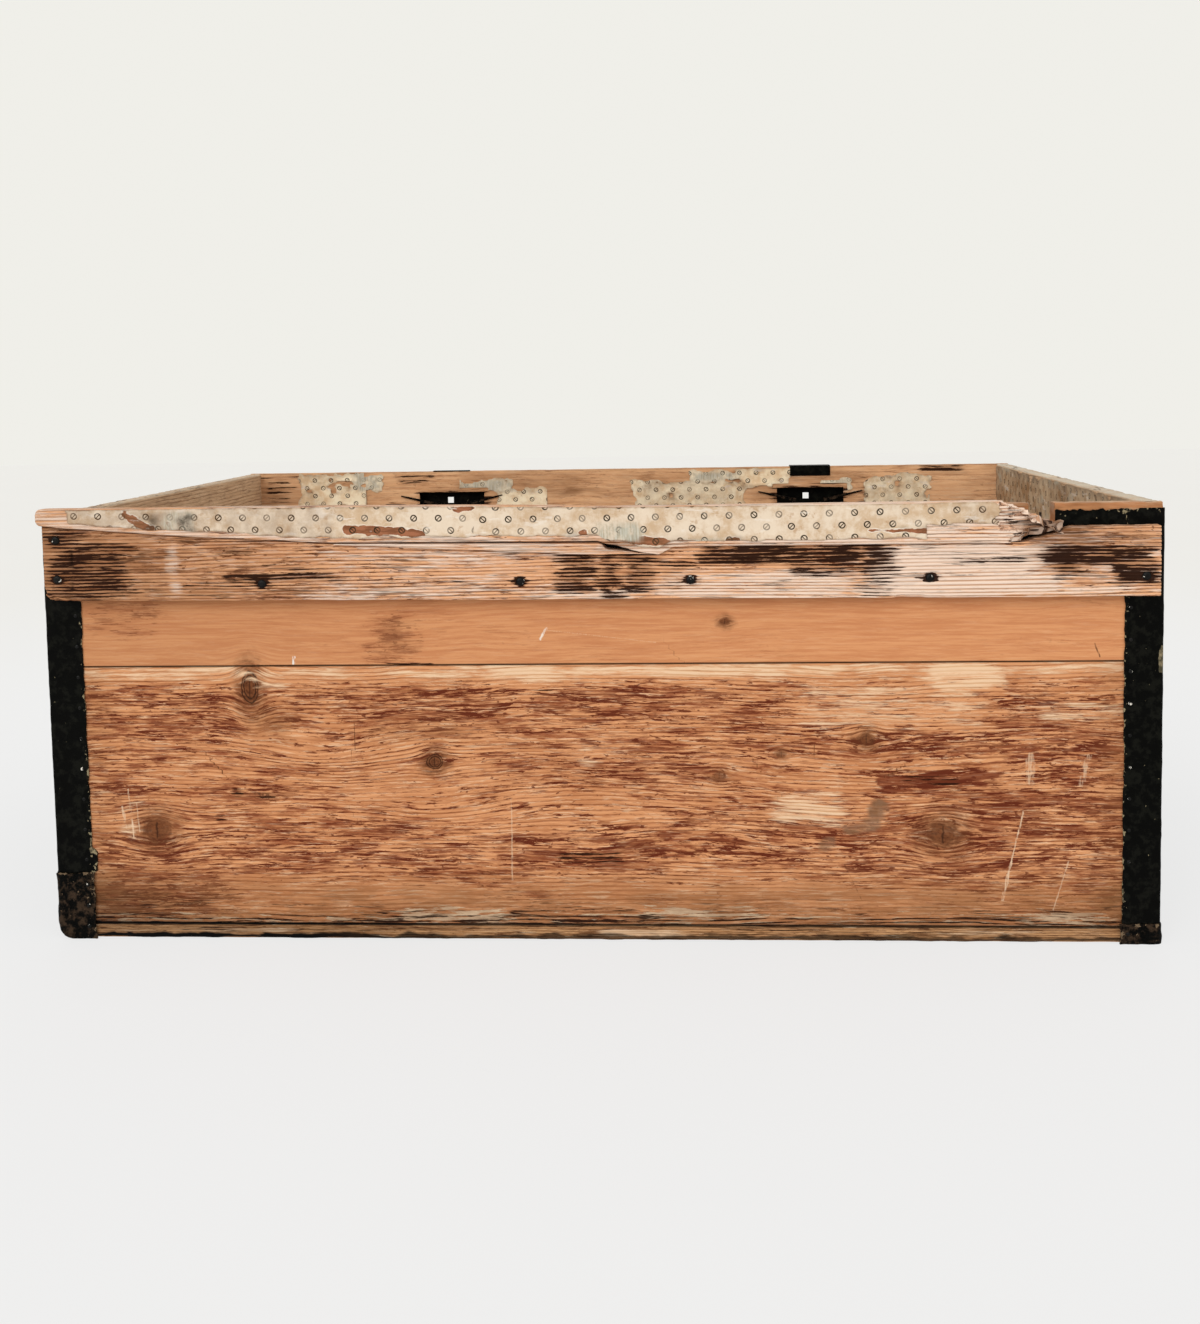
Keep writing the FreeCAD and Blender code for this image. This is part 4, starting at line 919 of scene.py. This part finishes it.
def strip_board(node, bottom, top, step_x, rows, radius, relief, fields, fine=None):
    """A board between two outlines over X, its edges rounded by radius; closer places beyond fine."""
    (x0, y0, _), (x1, y1, _) = corners(node)
    x1 = min(x1, top[-1][0])
    xs = levels(x0, x1, step_x)
    if fine:
        xs = np.concatenate([xs[xs < fine - 1], np.arange(fine, x1 - 0.5, 1.0), [x1]])
    place, quads = lattice(xs, levels(y0, y1, 2.6, edge=False), np.linspace(0, 1, rows))
    x, y, share = place.T
    lift = along(x, bottom)
    tall = np.maximum(along(x, top) - lift, 0.6)
    z = lift + share * tall
    low = np.stack([np.full(len(x), x0), np.full(len(x), y0), lift], 1)
    high = np.stack([np.full(len(x), x1), np.full(len(x), y1), lift + tall], 1)
    limit = np.minimum(radius(x, y, z), 0.45 * tall)
    moved = worn(np.stack([x, y, z], 1), low, high, limit, relief(x, y, z))
    grain = in_metres(x + y0 * 3, grain_level(x, z) + 0.3 * (y - y0), y * 0.7)
    piece(node, moved, quads, "bleached_batten", BATTEN_WOOD, grain=grain, **fields(x, y, z))


def grain_level(x, z):
    """Height in the ridged grain of the batten and rail."""
    return z + 3 * noise(105, x / 240, z / 60) + 1.4 * noise(106, x / 110, z / 16)


def grooves(x, z, depth):
    """Soft earlywood worn away between the hard lines of the grain."""
    phase = grain_level(x, z) / RIDGE % 1
    deep = 0.55 + 0.45 * noise(109, x / 30, z / 8, octaves=2)
    return -depth * deep * smooth(-abs(phase - 0.5), -0.34, -0.06)


def tight_joint(x, z, *joints):
    """A factor that keeps edges nearly sharp in boxes where two boards still meet."""
    return 1 - 0.85 * np.maximum.reduce([soft_box(x, z, *box, 6, 4) for box in joints])


SPLINTER_JOINT = (44, 96, 385, 402)
RAIL_JOINT = (396, 466, 390, 416)
BATTEN_NAILS = [(-529, 410), (-529, 371), (-323, 365), (-68, 365), (97, 365), (326, 365), (529, 365)]
BATTEN_STAINS = [
    (-536, -456, 352, 408, 0.74), (-536, -500, 398, 420, 0.7), (-352, -244, 366, 375, 0.7),
    (-300, -250, 372, 382, 0.4), (-30, 2, 352, 397, 0.8), (8, 26, 345, 404, 0.95),
    (30, 62, 352, 392, 0.75), (62, 100, 356, 386, 0.4), (104, 262, 380, 397, 1.05),
    (190, 262, 366, 382, 0.75), (262, 288, 370, 398, 1.1), (256, 292, 345, 372, 0.4),
    (443, 462, 362, 398, 0.6), (440, 534, 376, 393, 1.1), (500, 543, 356, 378, 1.05),
    (345, 420, 377, 384, 0.5), (-134, -122, 364, 367, 0.9), (-480, -420, 366, 372, 0.4),
    (-420, -340, 360, 366, 0.4), (-206, -190, 362, 366, 0.6),
]
BLEACHED = [(268, 438, 345, 396, 0.8), (425, 520, 345, 358, 0.7), (-270, -40, 348, 400, 0.32),
            (62, 262, 345, 374, 0.66), (-60, 62, 345, 358, 0.6)]
CRUMBLED = [(426, 470, 368, 412, 0.8), (456, 520, 372, 392, 0.45)]
DRIPS = [(-416, -405, 352, 406, 0.45), (-436, -432, 352, 366, 0.5)]


def batten_stain(x, z):
    """Iron stains round the nails and the dark streaks along the grain."""
    stain = patches(x, z, BATTEN_STAINS, 14, 4, 91)
    for nail_x, nail_z in BATTEN_NAILS:
        ring = np.hypot((x - nail_x) / 1.4, z - nail_z) + 1.8 * noise(92, x / 6, z / 3, octaves=3)
        tail = np.hypot((x - nail_x) / 4.5, z - nail_z) + 1.5 * noise(93, x / 9, z / 3, octaves=2)
        rings = [1.5 * smooth(-ring, -6.0, -4.0), 0.5 * smooth(-tail, -4.5, -1.5)]
        stain = np.maximum.reduce([stain, *rings])
    return stain


def left_crack(x, z):
    """The crack that runs down the batten near its left end."""
    return smooth(-abs(x + 514 + 3 * noise(103, z / 14)), -1.6, -0.2)


def batten():
    """The nailed batten: bleached, ridged, stained black, split along its top."""
    def radius(x, y, z):
        corner = 13 * smooth(-x, 520, 541) * smooth(-z, -366, -350)
        gnaw = 1.6 * smooth(noise(101, x / 22, octaves=3), 0.2, 0.7) * smooth(-z, -352, -346)
        bite = 5.0 * soft_box(x, z, 293, 321, 330, 352, 4, 3)
        plain = 1.5 + 0.8 * noise(102, x / 35, y / 8, z / 30, octaves=2)
        return (plain + corner + gnaw + bite) * tight_joint(x, z, SPLINTER_JOINT, RAIL_JOINT)

    def relief(x, y, z):
        crack = -2.2 * left_crack(x, z) * smooth(-y, 330, 337)
        pits = smooth(noise(104, x / 13, z / 3.4, octaves=3), 0.3, 0.62)
        pits = pits * soft_box(x, z, 425, 540, 350, 412, 25, 8)
        top = along(x, BATTEN_TOP)
        top_wear = -1.6 * smooth(z, top - 7, top) * (x > 425) * abs(noise(107, x / 12, octaves=3))
        return grooves(x, z, 0.75) + crack - 1.6 * pits + top_wear

    def fields(x, y, z):
        front = smooth(-y, -BATTEN_HIGH[1] + 1, -BATTEN_HIGH[1] + 5)
        pale = 0.08 + patches(x, z, BLEACHED, 30, 5, 108) + 0.2 * smooth(x, 100, 420)
        drips = patches(x, z, DRIPS, 4, 8, 110)
        top = soft_box(x, z, 425, 543, 390, 413, 20, 5)
        dirt = 0.64 * smooth(-x, 150, 450) + 0.3 * smooth(-x, 400, 540) + 0.4 * top
        dirt = dirt + patches(x, z, CRUMBLED, 14, 6, 114) - 0.5 * drips
        streaks = 0.35 * front * (0.6 + noise(111, x / 60, z / 12, octaves=2)) + 0.4 * top
        # Its shade field paints shade into the left crack
        return dict(stain=(batten_stain(x, z) - drips) * front, pale=(pale + drips) * front,
                    streaks=streaks, dirt=np.clip(dirt, 0, 1) * 0.75, flakes=0.15 * front,
                    cracks=0.6 * front, shade=-0.6 * left_crack(x, z) * front)

    low, high = BATTEN_LOW, BATTEN_HIGH
    bottom = [(low[0], low[2] + 4.5), (0, low[2] + 1.2), (high[0], low[2])]
    strip_board("batten", bottom, BATTEN_TOP, 3.2, 92, radius, relief, fields)


# Dark marks on the rail: x from and to, z from and to, strength. Most are stains; the one from x 50 to
# 250 at z 398 to 400 is painted shade along the rail's lower edge, over its gap to the batten
RAIL_STAINS_AND_SHADE = [(394, 404, 419, 424, 0.4), (404, 436, 406, 409, 0.5), (50, 250, 398, 400, 0.5),
               (418, 440, 414, 420, 0.3), (360, 385, 424, 427, 0.4)]
RAIL_BROWN = [(412, 450, 400, 422, 0.9), (-6, 80, 396, 406, 0.5)]


def rail():
    """The split-off rail, bare where its paper is torn, broken off in splinters at the right."""
    def radius(x, y, z):
        rounding = 2.0 + 0.9 * noise(112, x / 30, y / 8, z / 12, octaves=2)
        rounding = rounding + 4 * smooth(-x, 535, 549)
        return rounding * (1 - 0.85 * smooth(x, 385, 395)) * tight_joint(x, z, SPLINTER_JOINT)

    def relief(x, y, z):
        layer = np.floor((z - 0.12 * x + 2.5 * noise(113, x / 20, z / 9)) / 4.3).astype(np.int64)
        snapped = 404 + 15 * lattice_value(117, [layer]) + 4 * noise(118, x / 4, z / 1.5)
        splinters = -5.0 * smooth(x, snapped - 1.5, snapped + 1.5)
        splinters = splinters - 2.5 * smooth(x, snapped + 9, snapped + 12)
        return grooves(x, z, 0.4) + splinters * smooth(-y, -RAIL_HIGH[1], -RAIL_HIGH[1] + 4)

    def fields(x, y, z):
        brown = patches(x, z, RAIL_BROWN, 6, 3, 116)
        split = smooth(x, -500, -400)
        return dict(stain=patches(x, z, RAIL_STAINS_AND_SHADE, 6, 1.5, 115),
                    pale=0.5 + 0.3 * smooth(x, 0, 300), streaks=0.25 * split,
                    dirt=np.maximum(brown, 0.2 * smooth(-x, 300, 560)), flakes=0.15 + 0 * x,
                    cracks=0.5 * split + 0.5 * smooth(x, 360, 400))

    strip_board("split_rail", RAIL_BOTTOM, RAIL_TOP, 3.0, 40, radius, relief, fields, fine=384)


def splinter():
    """The long sliver that hangs from the rail, blunt where it snapped, with a thin tip."""
    def radius(x, y, z):
        return 1.3 + 0.5 * noise(121, x / 20, y / 6, octaves=2)

    def relief(x, y, z):
        return grooves(x, z, 0.4) - 0.8 * smooth(x, 11, 20)

    def fields(x, y, z):
        return dict(pale=0.55 + 0.5 * smooth(-x, 130, 170) - 0.2 * smooth(x, 0, 60),
                    streaks=0.15 + 0 * x, dirt=0.1 + 0 * x, cracks=0.3 + 0 * x)

    strip_board("rail_splinter", SPLINTER_BOTTOM, SPLINTER_TOP, 3.0, 16, radius, relief, fields)


# ---------------------------------------------------------------- torn paper

PAPER_THICK = 0.45
# How far to either side a torn edge's slope is read
REACH = 0.6


def joined(solid):
    """Fill cells until no two solid ones touch by an edge alone."""
    for _ in range(3):
        here, opposite = solid[:-1, :, :-1], solid[1:, :, 1:]
        right, above = solid[1:, :, :-1], solid[:-1, :, 1:]
        right |= here & opposite & ~above
        here |= right & above & ~opposite
    return solid


def torn_sheet(node, axis, face, us, vs, shape, printed, material, curl, **fields):
    """Paper on a wall: the part of its rectangle where shape(u, v) is above 0, in millimetres from
    the torn edge. axis is the wall's normal, and face its place there. The side that shows looks
    down that axis."""
    u_mid, _, v_mid = middles(us, [0, 1], vs)
    solid = joined(shape(u_mid.ravel(), v_mid.ravel()).reshape(u_mid.shape) > 0)
    place, quads = lattice(us, [0.0, PAPER_THICK], vs, solid)
    u, lift, v = place.T
    value = shape(u, v)
    slope_u = (shape(u + REACH, v) - shape(u - REACH, v)) / (2 * REACH)
    slope_v = (shape(u, v + REACH) - shape(u, v - REACH)) / (2 * REACH)
    steep = np.maximum(slope_u ** 2 + slope_v ** 2, 0.3)
    count = np.bincount(quads.ravel(), minlength=len(u))
    pull = np.where(count != 4, np.clip(value / steep, -1.6, 1.6), 0)
    u, v = u - slope_u * pull, v - slope_v * pull
    value = shape(u, v)
    bulge = np.clip(noise(131, u / 16, v / 16, octaves=2) + 0.3, 0, 1)
    rise = curl * smooth(-value, -7, 0) * bulge
    crease = 0.12 * (1 + noise(132, u / 25, v / 25, octaves=3))
    stand = face - (lift + rise + crease)
    place = np.stack((stand, u, v) if axis == 0 else (u, stand, v), 1)
    if axis == 1:
        quads = quads[:, ::-1]
    made = {key: field(u, v, value) for key, field in fields.items()}
    rings = np.stack([*printed(u, v), 0 * u], 1)
    piece(node, place, quads, "printed_paper", material, print=rings, **made)


def marked(marks, edge_u, edge_v, seed):
    """A field that shows the given patches of a sheet."""
    return lambda u, v, value: patches(u, v, marks, edge_u, edge_v, seed)


def whole(u, v, value):
    """Paper whose face isn't torn off anywhere: well below 0 all over."""
    return 0 * value - 4


# Tears in the face of the rail's paper, and the places of rings along its top row and of that
# row's height. Two sheets meet at SHEETS_MEET; their rings lean opposite ways.
RAIL_TEARS = [(-457, 435, -448, 430, 3), (-448, 430, -430, 420, 4.5), (-412, 425, -409, 417, 1.8),
              (-236, 418.5, -204, 416.5, 4.6), (-204, 416.5, -163, 413, 3.4), (-6, 412, -2, 405, 4.5),
              (4, 402.5, 40, 402, 3.5), (44, 404.5, 72, 404, 3.8), (268, 411.5, 322, 410.5, 1.6),
              (72, 402, 110, 400.5, 2.4), (134, 403.5, 142, 403.5, 2.6), (-130, 436, -112, 438, 2)]
SHEETS_MEET = -110.1
RING_AT = [(-531.3, -0.5), (-507.2, 0.5), (-145.7, 15.5), (-110.2, 17), (-110, 16.7), (-77.5, 18),
           (17.7, 22), (111.2, 26), (206.1, 30), (302.1, 34), (374.3, 37), (398, 38)]
ROW_AT = [(-520, 434.6), (-360, 431.1), (-146, 428.1), (-110.2, 427.6), (-110, 426.2), (18, 426.4),
          (200, 428.2), (390, 430.6)]
RAIL_GRIME = [(-461, -395, 412, 440, 0.5), (0, 150, 400, 408, 0.4), (360, 392, 416, 436, 0.35),
              (-520, -250, 405, 441, 0.36)]
RAIL_GREY = [(-418, -388, 415, 438, 0.7), (8, 50, 404, 421, 1.0), (80, 125, 401.5, 405, 0.9)]
RAIL_SOOT = [(-404, -388, 418, 436, 0.8), (-440, -424, 420, 434, 0.7), (135, 144, 402, 406, 0.8),
             (300, 334, 411, 414, 0.4), (-20, -8, 408, 416, 0.3)]


def rail_paper():
    """Cream paper on the rail, torn through to the wood in places."""
    def shape(u, v):
        bottom = along(u, RAIL_BOTTOM) + 5.5 + 2.5 * noise(141, u / 20, octaves=3)
        top = along(u, RAIL_TOP) - 0.6
        left = -512 + 4 * noise(142, v / 5, octaves=2)
        right = 388 + 12 * noise(143, v / 3, u / 40, octaves=3)
        value = np.minimum.reduce([v - bottom, top - v, u - left, right - u])
        stripped = np.minimum(u - 322, 416.5 - v) + 2.5 * noise(156, u / 16, v / 7, octaves=3)
        return np.minimum(value, -stripped)

    def printed(u, v):
        return along(u, RING_AT), (v - along(u, ROW_AT)) / RING_ROW + (u < SHEETS_MEET)

    def bare(u, v, value):
        torn = [capsule(u, v, tear) + 2.6 * noise(144 + seed, u / 9, v / 5, octaves=3)
                for seed, tear in enumerate(RAIL_TEARS)]
        return np.clip(np.maximum.reduce(torn), -4, 4)

    def grime(u, v, value):
        edge = 0.5 * smooth(-value, -2, 0)
        return np.clip(0.06 + patches(u, v, RAIL_GRIME, 18, 5, 145) + edge, 0, 1)

    us, vs = levels(-516, 396, 2.0, False), levels(396, 441, 0.9, False)
    torn_sheet("rail_paper", 1, RAIL_LOW[1], us, vs, shape, printed, RAIL_PAPER, 1.2, grime=grime,
               grey=marked(RAIL_GREY, 5, 3, 146), soot=marked(RAIL_SOOT, 6, 4, 147), bare=bare)


# What is left of the far wall's lining: x from and to, z from and to, and a number for its noise
REMAINS = [(-474, -380, 384, 433, 1), (-392, -352, 408, 431, 12), (-240, -162, 404, 420, 2),
           (-186, -112, 340, 408, 3), (14, 174, 336, 414, 4), (98, 168, 414, 427, 5),
           (163, 240, 404, 429, 6), (284, 326, 399, 416, 7), (344, 438, 352, 418, 8),
           (-500, -380, 180, 310, 9), (-110, 50, 140, 280, 10), (270, 480, 120, 250, 11)]
# Above this height the photograph shows the remains; below it they are guessed, more ragged
GUESSED_BELOW = 340
REMAINS_GRIME = [(-474, -440, 384, 433, 0.4), (14, 174, 336, 416, 0.35), (334, 438, 352, 420, 0.4),
                 (-240, -162, 404, 420, 0.5)]
REMAINS_GREY = [(-392, -352, 406, 433, 0.9), (-240, -162, 404, 422, 0.9), (98, 168, 414, 427, 0.9),
                (284, 326, 399, 416, 0.7)]


def lock_side_paper():
    """What is left of the lining on the far wall, in torn patches."""
    def shape(u, v):
        value = np.full(np.shape(u), -50.0)
        for x0, x1, z0, z1, seed in REMAINS:
            inside = np.minimum.reduce([u - x0, x1 - u, v - z0, z1 - v])
            torn = 9 * noise(150 + seed, u / 20, v / 13, octaves=4)
            torn = torn + (z1 < GUESSED_BELOW) * 34 * noise(190 + seed, u / 48, v / 36)
            value = np.maximum(value, inside + torn)
        low, high = v - WINDOW_Z[0] + 4, WINDOW_Z[1] + 5 - v
        windows = [np.minimum.reduce([u - x0 + 6, x1 + 6 - u, low, high]) for x0, x1 in LOCK_WINDOWS]
        holes = noise(171, u / 17, v / 12, octaves=3) * 14 + 7
        return np.minimum.reduce([value, -windows[0], -windows[1], holes, 433.5 - v])

    def printed(u, v):
        left = u < -300
        return np.where(left, u + 439.6, u - 35) / 24, np.where(left, v - 412, v - 392) / 11.4

    def grime(u, v, value):
        edge = 0.45 * smooth(-value, -4, 0)
        return np.clip(patches(u, v, REMAINS_GRIME, 20, 8, 172) + edge, 0, 1)

    us, vs = levels(-545, 505, 2.6, False), levels(86, 434, 2.0, False)
    torn_sheet("paper_lock_side", 1, INNER_Y, us, vs, shape, printed, FAR_PAPER, 2.0, grime=grime,
               grey=marked(REMAINS_GREY, 8, 4, 173), bare=whole)


def right_end_paper():
    """The lining of the right end, whole but for its torn top and a few holes."""
    low, high = corners("paper_right_end")

    def shape(u, v):
        top = RIM_Z - 2 - 9 * np.clip(noise(181, u / 24, octaves=4) + 0.1, 0, 1)
        inside = np.minimum.reduce([u - low[1], high[1] - u, v - low[2], top - v])
        return np.minimum(inside, 16 * noise(182, u / 45, v / 30, octaves=4) + 10)

    def printed(u, v):
        return u / 24, v / RING_ROW

    def grime(u, v, value):
        cloud = 0.4 * noise(183, u / 60, v / 50, octaves=3)
        return np.clip(0.3 + cloud + 0.4 * smooth(-value, -4, 0), 0, 1)

    def grey(u, v, value):
        cloud = 0.7 * smooth(noise(184, u / 35, v / 18, octaves=3), 0.3, 0.6)
        return cloud + 0.3 * smooth(v, 415, 432)

    us, vs = levels(low[1], high[1], 3.4, False), levels(low[2], RIM_Z, 2.6, False)
    torn_sheet("paper_right_end", 0, INNER_X, us, vs, shape, printed, END_PAPER, 2.0, grime=grime,
               grey=grey, bare=whole)


# ---------------------------------------------------------------- sheet iron

IRON_THICK = 1.2


def angle_strip(node, x_side, y_side, stand, leg, bend, wave, slot, material, fray, cap=False):
    """A sheet bent round one corner of the chest: wavy, dented, its inner edges ragged."""
    height = corners(node)[1][2]
    arc, flat = bend * math.pi / 2, leg - bend
    leg_places = np.arange(0, flat, 1.5)
    bent = flat + arc * np.linspace(0, 1, 6)
    us = np.concatenate([leg_places, bent, 2 * flat + arc - leg_places[::-1]])
    place, quads = lattice(us, [0.0, IRON_THICK], levels(0, height, 2.2, False))
    u, depth, v = place.T
    total = 2 * flat + arc
    seed = 220 + 3 * x_side + 7 * y_side + (100 if cap else 0)
    half = np.sign(u - total / 2)
    edge = np.minimum(u, total - u)
    frayed = fray * np.clip(noise(seed, v / 9, half * 5, octaves=4), -1, 0.2)
    tabbed = node == "corner_strip_batten_side_left"
    tab = 5.0 * smooth(-abs(v - 80.5), -12.5, -11.0) * (half < 0) * tabbed
    u = u + np.where(edge < 1e-6, half * (frayed + tab), 0)
    ragged = np.clip(noise(seed + 1, u / 8, octaves=3), -1, 0)
    v = v + smooth(v, height - 0.01, height) * fray * 1.5 * ragged
    dents = 0.5 * noise(seed + 3, u / 5, v / 6, octaves=2)
    relief = wave * (noise(seed + 2, u / 18, v / 22, octaves=3) + dents)
    rim = smooth(-np.minimum(edge, height - v), -6, 0)
    lift = rim * wave * 0.9 * np.clip(noise(seed + 4, v / 30, octaves=2), 0, 1)
    radius = bend - IRON_THICK + stand + depth + np.maximum(relief, -0.1) * (depth > 0) + 0.15 + lift
    turn = np.clip((u - flat) / arc, 0, 1) * math.pi / 2
    x = HALF_LENGTH + IRON_THICK - bend + radius * np.sin(turn) - np.maximum(flat - u, 0)
    y = HALF_DEPTH + IRON_THICK - bend + radius * np.cos(turn) - np.maximum(u - flat - arc, 0)
    place = np.stack([x_side * x, y_side * y, v], 1)
    if x_side * y_side < 0:
        quads = quads[:, ::-1]
    if x_side < 0 and y_side < 0:
        place = rounded_foot(place, *((2.4, 600) if cap else ()))
    rubbed = smooth(noise(seed + 6, v / 24, half, octaves=2), 0.1, 0.4)
    rubbed = 0.62 * smooth(-edge, -3.5, -1) * rubbed
    chip = soft_box(u, v, flat - 2, flat + arc + 3, 268, 296, 1, 3) * (x_side > 0) * (y_side < 0)
    marks = np.clip(rim + 0.3 * noise(seed + 5, u / 9, v / 14, octaves=3), 0, 1)
    bare = np.maximum(rubbed, chip) * (not cap)
    piece(node, place, quads, slot, material, edge=marks, bare=bare)


def corner_irons():
    sides = itertools.product((("left", -1), ("right", 1)), (("batten_side", -1), ("lock_side", 1)))
    for (end, x_side), (wall, y_side) in sides:
        angle_strip("corner_strip_%s_%s" % (wall, end), x_side, y_side, 0.0, 37.2, 2.6, 0.5,
                    "black_iron", BLACK_IRON, 1.6)
        angle_strip("foot_cap_%s_%s" % (wall, end), x_side, y_side, IRON_THICK, 39.2, 3.4, 1.3,
                    "rusty_iron", RUSTY_IRON, 2.6, cap=True)


def rim_band():
    """The black band behind the batten, its ragged top showing where the rail has broken off."""
    low, high = corners("rim_band")
    xs = through(levels(low[0], high[0], 2.4), NOTCH[0], NOTCH[1])
    zs = through(levels(low[2], high[2], 1.4, False), NOTCH[2])
    x, _, z = middles(xs, [0, 1], zs)
    gap = (x > NOTCH[0]) & (x < NOTCH[1]) & (z > NOTCH[2])
    place, quads = lattice(xs, np.linspace(low[1], high[1], 2), zs, ~gap)
    x, y, z = place.T
    fringe = smooth(z, high[2] - 5, high[2])
    z = z - fringe * (1.2 + 2.2 * noise(301, x / 3.0, octaves=3))
    y = y - (y < low[1] + 0.1) * (0.5 + 0.5 * noise(302, x / 4, z / 3, octaves=3))
    marks = np.clip(0.45 * fringe + 0.3 + 0.3 * noise(303, x / 12, z / 6), 0, 1)
    place = np.stack([x, y, z], 1)
    piece("rim_band", place, quads, "black_iron", BLACK_IRON, edge=marks)


# ---------------------------------------------------------------- the model, floor, light, camera

# CAD nodes that keep their own shape, by material
BAIL_PARTS = ("_bail", "_bail_eye_batten_side", "_bail_eye_lock_side", "_bail_roses", "_bail_striker")
CARRIED_OVER = {
    PEG_WOOD: ["seam_pegs", "corner_pegs"],
    NAIL_IRON: ["bottom_nails", "batten_nails", "corner_strip_tacks", "foot_cap_tacks"],
    BLACK_IRON: ["lock_plate_left", "lock_plate_right", "rim_tab_right"],
    RUSTY_IRON: ["lock_split_pins_left", "lock_split_pins_right", "lock_plate_nails",
                 "rim_sliver_left"],
    FORGED_IRON: [end + part for end in ("left", "right") for part in BAIL_PARTS],
}


def carried_over():
    for material, names in CARRIED_OVER.items():
        for name in names:
            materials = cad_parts[name].data.materials
            materials.clear()
            materials.append(material)


# The floor: half its size and its drop in metres, where its glow begins and ends to whiten
FLOOR_HALF, FLOOR_DROP = 9.0, -0.0005
GLOW_FROM, GLOW_TO = 0.9, 3.0
GLOW = 0.716
GLOW_NEAR, GLOW_FAR = (1.0, 1.0, 1.0, 1.0), (0.965, 0.95, 0.905, 1.0)
FLOOR_LIGHT, FLOOR_DARK = (0.135, 0.135, 0.135, 1.0), (0.125, 0.125, 0.125, 1.0)
# The backdrop's colour and strength, and suns: name, place, strength, spread in degrees
BACKDROP, BACKDROP_STRENGTH = srgb(243, 242, 236), 0.97
LAMPS = [("key", (-2.2, -4.2, 2.3), 1.45, 35.0), ("fill", (3.0, -3.4, 2.6), 0.45, 50.0)]


def floor():
    """A pale studio floor that glows a little, so that it stays even round the chest."""
    mesh = bpy.data.meshes.new("floor")
    signs = ((-1, -1), (1, -1), (1, 1), (-1, 1))
    places = [(x * FLOOR_HALF, y * FLOOR_HALF, FLOOR_DROP) for x, y in signs]
    mesh.from_pydata(places, [], [(0, 1, 2, 3)])
    made = bpy.data.objects.new("floor", mesh)
    bpy.context.scene.collection.objects.link(made)
    s = Shader("pale_floor", specular=0.05)
    cloud = s.place().noise(1.5, 3)
    far = s.place().length().step(GLOW_FROM, GLOW_TO)
    s.set(s.bsdf.inputs["Emission Color"], far.mix(GLOW_NEAR, GLOW_FAR))
    s.bsdf.inputs["Emission Strength"].default_value = GLOW
    colour = cloud.mix(FLOOR_LIGHT, FLOOR_DARK)
    mesh.materials.append(s.finish(colour, 0.9, cloud, 0.0001))


def light():
    world = bpy.data.worlds.new("studio")
    bpy.context.scene.world = world
    world.use_nodes = True
    background = world.node_tree.nodes["Background"]
    background.inputs[0].default_value = BACKDROP
    background.inputs[1].default_value = BACKDROP_STRENGTH
    for name, place, strength, spread in LAMPS:
        data = bpy.data.lights.new(name, "SUN")
        data.energy, data.angle = strength, math.radians(spread)
        lamp = bpy.data.objects.new(name, data)
        lamp.location = place
        lamp.rotation_euler = (-Vector(place)).to_track_quat("-Z", "Y").to_euler()
        bpy.context.scene.collection.objects.link(lamp)


# Camera: pixels of the 1200 x 1324 picture, degrees, metres
PICTURE = (1200, 1324)
FOCAL_PX = 1331.4
CENTRE_PX = (621.4, 481.6)
PITCH, YAW, ROLL = 4.029, -3.138, -0.988
STAND = (0.1021, -1.6135, 0.551)
SENSOR_MM = 36.0


def camera():
    pitch, yaw, roll = (math.radians(a) for a in (PITCH, YAW, ROLL))
    ahead = Vector((math.sin(yaw) * math.cos(pitch), math.cos(yaw) * math.cos(pitch),
                    -math.sin(pitch)))
    level = ahead.cross(Vector((0, 0, 1))).normalized()
    rise = level.cross(ahead)
    right = level * math.cos(roll) + rise * math.sin(roll)
    up = rise * math.cos(roll) - level * math.sin(roll)
    data = bpy.data.cameras.new("camera")
    data.sensor_width = SENSOR_MM
    data.lens = SENSOR_MM * FOCAL_PX / max(PICTURE)
    data.shift_x = (PICTURE[0] / 2 - CENTRE_PX[0]) / max(PICTURE)
    data.shift_y = (CENTRE_PX[1] - PICTURE[1] / 2) / max(PICTURE)
    made = bpy.data.objects.new("camera", data)
    turn = Matrix((right, up, -ahead)).transposed()
    made.matrix_world = Matrix.Translation(STAND) @ turn.to_4x4()
    bpy.context.scene.collection.objects.link(made)
    bpy.context.scene.camera = made


for make in (lower_plank, upper_plank, lock_side_planks, end_planks, bottom_boards, batten, rail,
             splinter, rail_paper, lock_side_paper, right_end_paper, corner_irons, rim_band,
             carried_over, floor, light, camera):
    make()
bpy.context.scene.view_settings.view_transform = "Standard"
